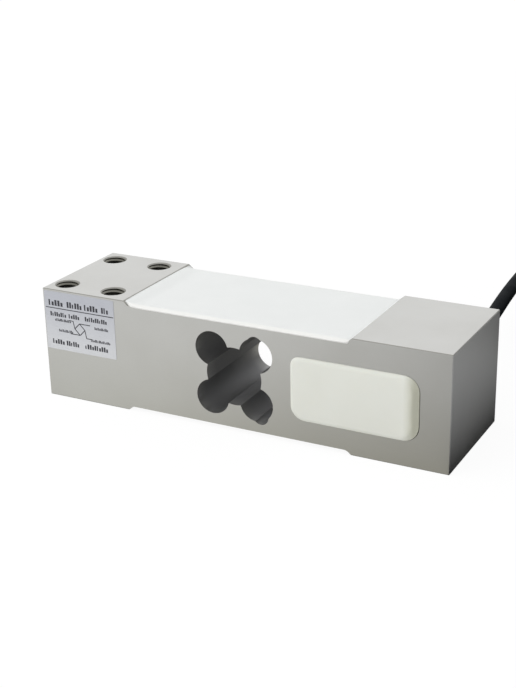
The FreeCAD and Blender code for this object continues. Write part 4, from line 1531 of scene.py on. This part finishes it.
@dataclass
class CoilTies:
    """Two ratchet ties round the coil.

    Sizes are those of a tie that crosses the turns along X: the columns it spans, its low and high
    side, and the head on top. The head's rows are heights and insets, and the tail's are steps
    along it and lifts.
    """

    angles: Flat = (340.0, 240.0)
    inner: float = 23.4
    outer: float = 39.6
    low: float = 1.2
    high: float = 17.4
    gap: float = 0.1
    thickness: float = 1.0
    width: float = 4.0
    edge: float = 0.25
    corner: float = 2.4
    head: float = 6.0
    head_cut: float = 0.5
    head_rows: tuple = ((0.0, 0.0), (3.3, 0.0), (3.8, 0.25), (4.0, 0.7), (4.0, 1.5), (3.2, 1.6))
    tail_rows: tuple = ((0.0, 0.0), (1.5, 0.05), (2.6, 0.2))
    tail_width: float = 3.6
    tail_sides: Flat = (1.2, 2.0)

    def build(self) -> list[bpy.types.Object]:
        """Build both ties in place of their plain solids.

        Returns:
            The new pieces.
        """
        corners, faces = both(self._band(), both(self._head(), self._tail()))
        made = []
        for number, angle in enumerate(self.angles, start=1):
            turn = Matrix.Rotation(math.radians(angle), 3, "Z")
            turned = [turn @ Vector(corner) for corner in corners]
            placed = [(p.x + COIL_CENTRE[0], p.y + COIL_CENTRE[1], p.z) for p in turned]
            piece = make_piece(f"coil_tie_band_{number}", placed, faces, Shading.CREASED)
            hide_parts(f"coil_tie_{number}")
            made.append(wear(piece, Palette.TIE.material()))
        return made

    def _band(self) -> Skin:
        """Build the strap: a rounded loop with rounded edges.

        Returns:
            The vertices and the faces.
        """
        low = (self.inner - self.gap, self.low - self.gap)
        high = (self.outer + self.gap, self.high + self.gap)
        half = self.width / 2
        inner, outer = self.edge, 1.0 - self.edge
        section = (
            (0.0, -half + self.edge), (inner, -half), (outer, -half), (1.0, -half + self.edge),
            (1.0, half - self.edge), (outer, half), (inner, half), (0.0, half - self.edge),
        )
        loops = []
        for share, across in section:
            outline = round_outline(low, high, (self.corner,) * 4, 8, proud=share * self.thickness)
            loops.append([(x, across, z) for x, z in outline])
        rings = list(zip(*loops))
        return loft(rings + rings[:1], caps=False)

    def _middle(self) -> float:
        """Middle of the columns that the tie spans."""
        return (self.inner + self.outer) / 2

    def _base(self) -> float:
        """Height of the head's foot, just inside the strap."""
        return self.high + self.gap + self.thickness - 0.1

    def _head(self) -> Skin:
        """Build the ratchet head with its slot's lip.

        Returns:
            The vertices and the faces.
        """
        rings = []
        for rise, inset in self.head_rows:
            reach = self.head / 2 - inset
            near = reach - self.head_cut
            outline = (
                (-near, -reach), (near, -reach), (reach, -near), (reach, near),
                (near, reach), (-near, reach), (-reach, near), (-reach, -near),
            )
            rings.append([(self._middle() + x, y, self._base() + rise) for x, y in outline])
        return loft(rings)

    def _tail(self) -> Skin:
        """Build the strap's cut tail, which leaves the head.

        Returns:
            The vertices and the faces.
        """
        half = self.tail_width / 2
        under, over = self.tail_sides
        rings = []
        for step, lift in self.tail_rows:
            x = self._middle() + self.head / 2 + step - 0.2
            outline = ((-half, under), (half, under), (half, over), (-half, over))
            rings.append([(x, y, self._base() + z + lift) for y, z in outline])
        return loft(rings)


@dataclass
class CableEnd:
    """Shrink sleeve, stripped cores and tinned ends in the coil's open step."""

    radius: float = 26.1
    height: float = 14.7
    start: float = 191.5
    sweep: float = 13.5
    sleeve_radius: float = 2.9
    narrowing: float = 0.35
    flattening: float = 1.35
    sinking: float = 1.05
    shrink_start: float = 0.62
    rounding: float = 0.25
    waver: float = 0.05
    stations: int = 24
    around: int = 24

    FINISHES = {
        "red_lead": Palette.RED, "black_lead": Palette.BLACK, "green_lead": Palette.GREEN,
        "white_lead": Palette.WHITE, "screen_lead": Palette.YELLOW, "tinned_ends": Palette.TIN,
    }

    def build(self) -> list[bpy.types.Object]:
        """Dress the loaded cores and shrink the sleeve over them.

        Returns:
            The sleeve and the cores.
        """
        cores = [dress(node, finish.material()) for node, finish in self.FINISHES.items()]
        skin = loft([self._ring(k / self.stations) for k in range(self.stations + 1)])
        piece = make_piece("shrunk_end_sleeve", *skin, Shading.CREASED)
        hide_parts("end_sleeve")
        return [wear(piece, Palette.SLEEVE.material())] + cores

    def _ring(self, share: float) -> list[Point]:
        """Points round the sleeve, which is round on the sheath and shrunk flat over the cores.

        Args:
            share: Place along the sleeve, 0 on the sheath and 1 at the cores.

        Returns:
            Points of the closed ring.
        """
        angle = math.radians(self.start - self.sweep * share)
        shrink = smooth_step((share - self.shrink_start) / (1 - self.shrink_start))
        wide = self.sleeve_radius - self.narrowing * shrink + self.waver * wander(share * 9.0, 0.0, 3.0)
        tall = self.sleeve_radius - self.flattening * shrink + self.waver * wander(share * 9.0, 5.0, 3.0)
        if share in (0.0, 1.0):
            wide, tall = wide - self.rounding, tall - self.rounding
        middle = self.height - self.sinking * shrink
        out = Vector((math.cos(angle), math.sin(angle)))
        ring = []
        for j in range(self.around):
            turn = 2 * math.pi * j / self.around
            r = self.radius + wide * math.cos(turn)
            x, y = COIL_CENTRE[0] + out.x * r, COIL_CENTRE[1] + out.y * r
            ring.append((x, y, middle + tall * math.sin(turn)))
        return ring


@dataclass
class ExitBush:
    """Rubber bush that seals the cable where it leaves the block's back."""

    lip: float = 0.35
    bore: float = 2.7
    radius: float = 4.45
    steps: int = 64

    def build(self) -> list[bpy.types.Object]:
        """Build the bush, with a rounded lip, in place of its plain solid.

        Returns:
            The new piece.
        """
        low, high = cad_box("cable_bush")
        middle_x, middle_z = (low.x + high.x) / 2, (low.z + high.z) / 2
        form = (
            (self.bore, low.y), (self.radius, low.y),
            (self.radius, high.y - 0.05), (self.radius - 0.15, high.y + 0.18),
            (self.radius - 0.6, high.y + self.lip), (self.bore + 0.9, high.y + self.lip),
            (self.bore + 0.35, high.y + 0.15), (self.bore, high.y - 0.1),
        )
        count = len(form)
        corners: list[Point] = []
        faces: Faces = []
        for k in range(self.steps):
            angle = 2 * math.pi * k / self.steps
            corners += [(middle_x + r * math.cos(angle), y, middle_z + r * math.sin(angle)) for r, y in form]
            here, there = k * count, (k + 1) % self.steps * count
            for m in range(count):
                n = (m + 1) % count
                faces.append([here + m, there + m, there + n, here + n])
        piece = make_piece("cable_exit_bush", corners, faces, Shading.CREASED)
        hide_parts("cable_bush")
        return [wear(piece, Palette.BUSH.material())]


# ---------------------------------------------------------------- wiring


class BridgeWiring:
    """Gauges, wires, board and cores behind the silicone and the sealing plug."""

    FINISHES = {
        "top_load_gauge": Palette.GAUGE, "top_fixed_gauge": Palette.GAUGE,
        "bottom_load_gauge": Palette.GAUGE, "bottom_fixed_gauge": Palette.GAUGE,
        "top_solder_strip": Palette.STRIP, "bottom_solder_strip": Palette.STRIP,
        "top_gauge_jumpers": Palette.ENAMEL, "bottom_gauge_jumpers": Palette.ENAMEL,
        "top_bridge_wires": Palette.ENAMEL, "bottom_bridge_wires": Palette.ENAMEL,
        "compensation_board": Palette.BOARD, "zero_resistor": Palette.RESISTOR,
        "span_resistor": Palette.RESISTOR, "balance_resistor": Palette.RESISTOR,
        "temperature_element": Palette.ELEMENT, "crimp_ring": Palette.CRIMP,
        "red_core": Palette.RED, "black_core": Palette.BLACK, "green_core": Palette.GREEN,
        "white_core": Palette.WHITE, "screen_core": Palette.YELLOW,
    }

    def build(self) -> list[bpy.types.Object]:
        """Dress every inner node."""
        return [dress(node, finish.material()) for node, finish in self.FINISHES.items()]


# ---------------------------------------------------------------- studio


@dataclass
class Camera:
    """Camera at the object's right front, a little above it."""

    place: Point = (197.16, -373.87, 189.26)
    right: Point = (0.88557, 0.46407, -0.02022)
    down: Point = (0.15282, -0.33217, -0.93076)
    forward: Point = (-0.43865, 0.82116, -0.36507)
    lens: float = 69.918
    sensor: float = 36.0
    nearest: float = 10.0
    furthest: float = 20000.0

    def build(self) -> list[bpy.types.Object]:
        """Make the camera and set it as the scene's own.

        Returns:
            The camera.
        """
        data = bpy.data.cameras.new("front_camera")
        data.lens = self.lens
        data.sensor_width = self.sensor
        data.clip_start = self.nearest * MM
        data.clip_end = self.furthest * MM
        camera = add_object("front_camera", data)
        axes = (Vector(self.right), -Vector(self.down), -Vector(self.forward))
        turn = Matrix([[axis[i] for axis in axes] for i in range(3)]).to_4x4()
        camera.matrix_world = Matrix.Translation(Vector(self.place) * MM) @ turn
        bpy.context.scene.camera = camera
        return [camera]


@dataclass(frozen=True)
class SoftLamp:
    """A large soft lamp aimed at the block."""

    name: str
    place: Point
    size: float
    power: float
    mirrored: bool = True
    aim: Point = (0.0, 0.0, 20.0)

    def build(self) -> bpy.types.Object:
        """Hang the lamp.

        Returns:
            The lamp.
        """
        data = bpy.data.lights.new(self.name, "AREA")
        data.shape = "SQUARE"
        data.size = self.size * MM
        data.energy = self.power
        lamp = add_object(self.name, data)
        lamp.location = Vector(self.place) * MM
        aim = Vector(self.aim) * MM - lamp.location
        lamp.rotation_euler = aim.to_track_quat("-Z", "Y").to_euler()
        lamp.visible_camera = False
        lamp.visible_glossy = self.mirrored
        return lamp


@dataclass
class StudioPiece:
    """A mesh of the studio with a material of its own."""

    name: str
    corners: Sequence[Point]
    faces: Sequence[Sequence[int]]

    def build(self) -> tuple[bpy.types.Object, NodeGraph, bpy.types.Node]:
        """Make the mesh and open its material.

        Returns:
            The piece, its material's graph and the material's output.
        """
        mesh = bpy.data.meshes.new(self.name)
        mesh.from_pydata([(x * MM, y * MM, z * MM) for x, y, z in self.corners], [], self.faces)
        material = bpy.data.materials.new(self.name)
        material.use_nodes = True
        mesh.materials.append(material)
        tree = material.node_tree
        return add_object(self.name, mesh), NodeGraph(tree), tree.nodes["Material Output"]


@dataclass
class SideCard:
    """Card that only the object's gloss sees: the pale room that its metal and silicone mirror, with a
    painted shadow of the block under it and to its right.

    It lies just above the floor and turns up at the right. Ranges are places from the block's
    middle, and each goes with the two levels or colours that it runs between.
    """

    left: float = -500.0
    right: float = 350.0
    near: float = -700.0
    far: float = 1600.0
    lift: float = 0.05
    height: float = 380.0
    block_reach: Flat = (74.5, 22.1)
    # painted shadow under the block
    under_block_shadow: float = 0.9
    in_front: Flat = (-120.0, -20.0)
    front_colour: Colour = (1.0, 1.0, 1.0)
    across_block: Flat = (-70.0, 70.0)
    left_colour: Colour = (0.80, 0.80, 0.755)
    right_colour: Colour = (0.69, 0.67, 0.575)
    along_block: Flat = (-50.0, 72.0)
    along_levels: Flat = (1.06, 0.64)
    # painted shadow of the block to its right, easing to the room's darker side
    shadow_beside: Flat = (78.0, 120.0)
    shadow_beside_levels: Flat = (0.01, 0.53)
    beside_colour: Colour = (0.97, 0.98, 1.0)

    def build(self) -> bpy.types.Object:
        """Build the card.

        Returns:
            The new piece.
        """
        low = [(x, y, self.lift) for y in (self.near, self.far) for x in (self.left, self.right)]
        high = [(self.right, y, self.height) for y in (self.near, self.far)]
        card, graph, out = StudioPiece("side_card", low + high, [[0, 1, 3, 2], [1, 4, 5, 3]]).build()
        card.visible_camera = False
        card.visible_diffuse = False
        card.visible_shadow = False
        card.visible_transmission = False
        x, y, _ = graph.parts(graph.where())
        along = graph.math("LESS_THAN", x, self.block_reach[0])
        colour = graph.blend(graph.span(x, *self.across_block), self.left_colour, self.right_colour)
        colour = graph.blend(graph.span(y, *self.in_front, 1.0, 0.0), colour, self.front_colour)
        # painted shadow: the card is darkened under the block and just right of it
        under = graph.times(graph.within(y, self.block_reach[1]), self.under_block_shadow)
        level = graph.times(graph.span(x, *self.along_block, *self.along_levels), along)
        level = graph.times(level, graph.math("SUBTRACT", 1.0, under))
        past = graph.math("SUBTRACT", 1.0, along)
        past_level = graph.times(graph.span(x, *self.shadow_beside, *self.shadow_beside_levels), past)
        inputs = {
            "Color": graph.blend(along, self.beside_colour, colour),
            "Strength": graph.math("MAXIMUM", level, past_level),
        }
        graph.fill(out, {"Surface": graph.node("ShaderNodeEmission", inputs).outputs[0]})
        return card


@dataclass
class Studio:
    """Plain pale floor and white surround, two soft lamps and a card for the gloss."""

    fill: float = 0.5
    floor_reach: float = 4000.0
    floor_colour: Colour = (0.92, 0.92, 0.92)
    floor_white: float = 1.03
    floor_shadow: float = 0.10
    shadow_fade: Flat = (300.0, 800.0)
    card: SideCard = field(default_factory=SideCard)
    lamps: tuple = (
        SoftLamp("front_left_key", (-900.0, -900.0, 1300.0), 2600.0, 26.0, mirrored=False),
        SoftLamp("back_sheen", (-650.0, 1250.0, 1000.0), 2000.0, 3.0),
    )

    def build(self) -> list[bpy.types.Object]:
        """Set up the surround, floor, card and lamps.

        Returns:
            The floor, the card and the lamps.
        """
        self._surround()
        made = [self._floor(), self.card.build()]
        return made + [lamp.build() for lamp in self.lamps]

    def _seen_rays(self, graph: NodeGraph) -> Socket:
        """Find the rays that see the plain white surround.

        Args:
            graph: Graph of the world's or the floor's material.

        Returns:
            1 for those rays, and 0 for the light that falls on the object.
        """
        path = graph.node("ShaderNodeLightPath").outputs
        seen = graph.math("ADD", path["Is Camera Ray"], path["Is Glossy Ray"])
        return graph.math("MINIMUM", graph.math("ADD", seen, path["Is Transmission Ray"]), 1.0)

    def _surround(self) -> None:
        """Make the surround white to look at, and gentler as a light."""
        world = bpy.data.worlds.new("white_surround")
        bpy.context.scene.world = world
        world.use_nodes = True
        graph = NodeGraph(world.node_tree)
        strength = graph.span(self._seen_rays(graph), 0.0, 1.0, self.fill, 1.0)
        graph.fill(world.node_tree.nodes["Background"], {"Color": (1.0, 1.0, 1.0), "Strength": strength})

    def _floor(self) -> bpy.types.Object:
        """Lay the plain floor, which keeps a faint shadow near the object.

        Returns:
            The new piece.
        """
        reach = self.floor_reach
        corners = [(-reach, -reach, 0.0), (reach, -reach, 0.0), (reach, reach, 0.0), (-reach, reach, 0.0)]
        floor, graph, out = StudioPiece("studio_floor", corners, [[0, 1, 2, 3]]).build()
        matte = graph.node("ShaderNodeBsdfDiffuse", {"Color": self.floor_colour}).outputs[0]
        glow = {"Color": (1.0, 1.0, 1.0), "Strength": self.floor_white}
        white = graph.node("ShaderNodeEmission", glow).outputs[0]
        away = graph.node("ShaderNodeVectorMath", {0: graph.where()}, operation="LENGTH").outputs["Value"]
        plain = graph.span(away, *self.shadow_fade, 1.0 - self.floor_shadow, 1.0)
        share = graph.times(self._seen_rays(graph), plain)
        mixed = graph.node("ShaderNodeMixShader", {0: share, 1: matte, 2: white}).outputs[0]
        graph.fill(out, {"Surface": mixed})
        return floor


# ---------------------------------------------------------------- assembly


def report(title: str, pieces: Iterable[bpy.types.Object]) -> None:
    """Log the pieces of one sub-assembly."""
    for piece in pieces:
        LOG.info("%s: %s", title, piece.name)


def main() -> None:
    """Build the load cell and its studio in order."""
    logging.basicConfig(level=logging.INFO, format="%(name)s %(message)s")
    bpy.context.scene.view_settings.view_transform = "Standard"
    report("camera", Camera().build())
    cable = SignalCable()
    report("cable", cable.build())
    ties = CoilTies().build()
    report("ties", ties)
    end = CableEnd().build()
    report("cable end", end)
    report("cable exit", ExitBush().build())
    report("block", MachinedBlock().build())
    report("top skin", TopSkin().build())
    report("lower skin", LowerSkin().build())
    report("pocket", PocketPlug().build())
    report("label", RatingLabel().build())
    report("wiring", BridgeWiring().build())
    report("studio", Studio().build())
    bpy.context.view_layer.update()


if __name__ == "__main__":
    main()
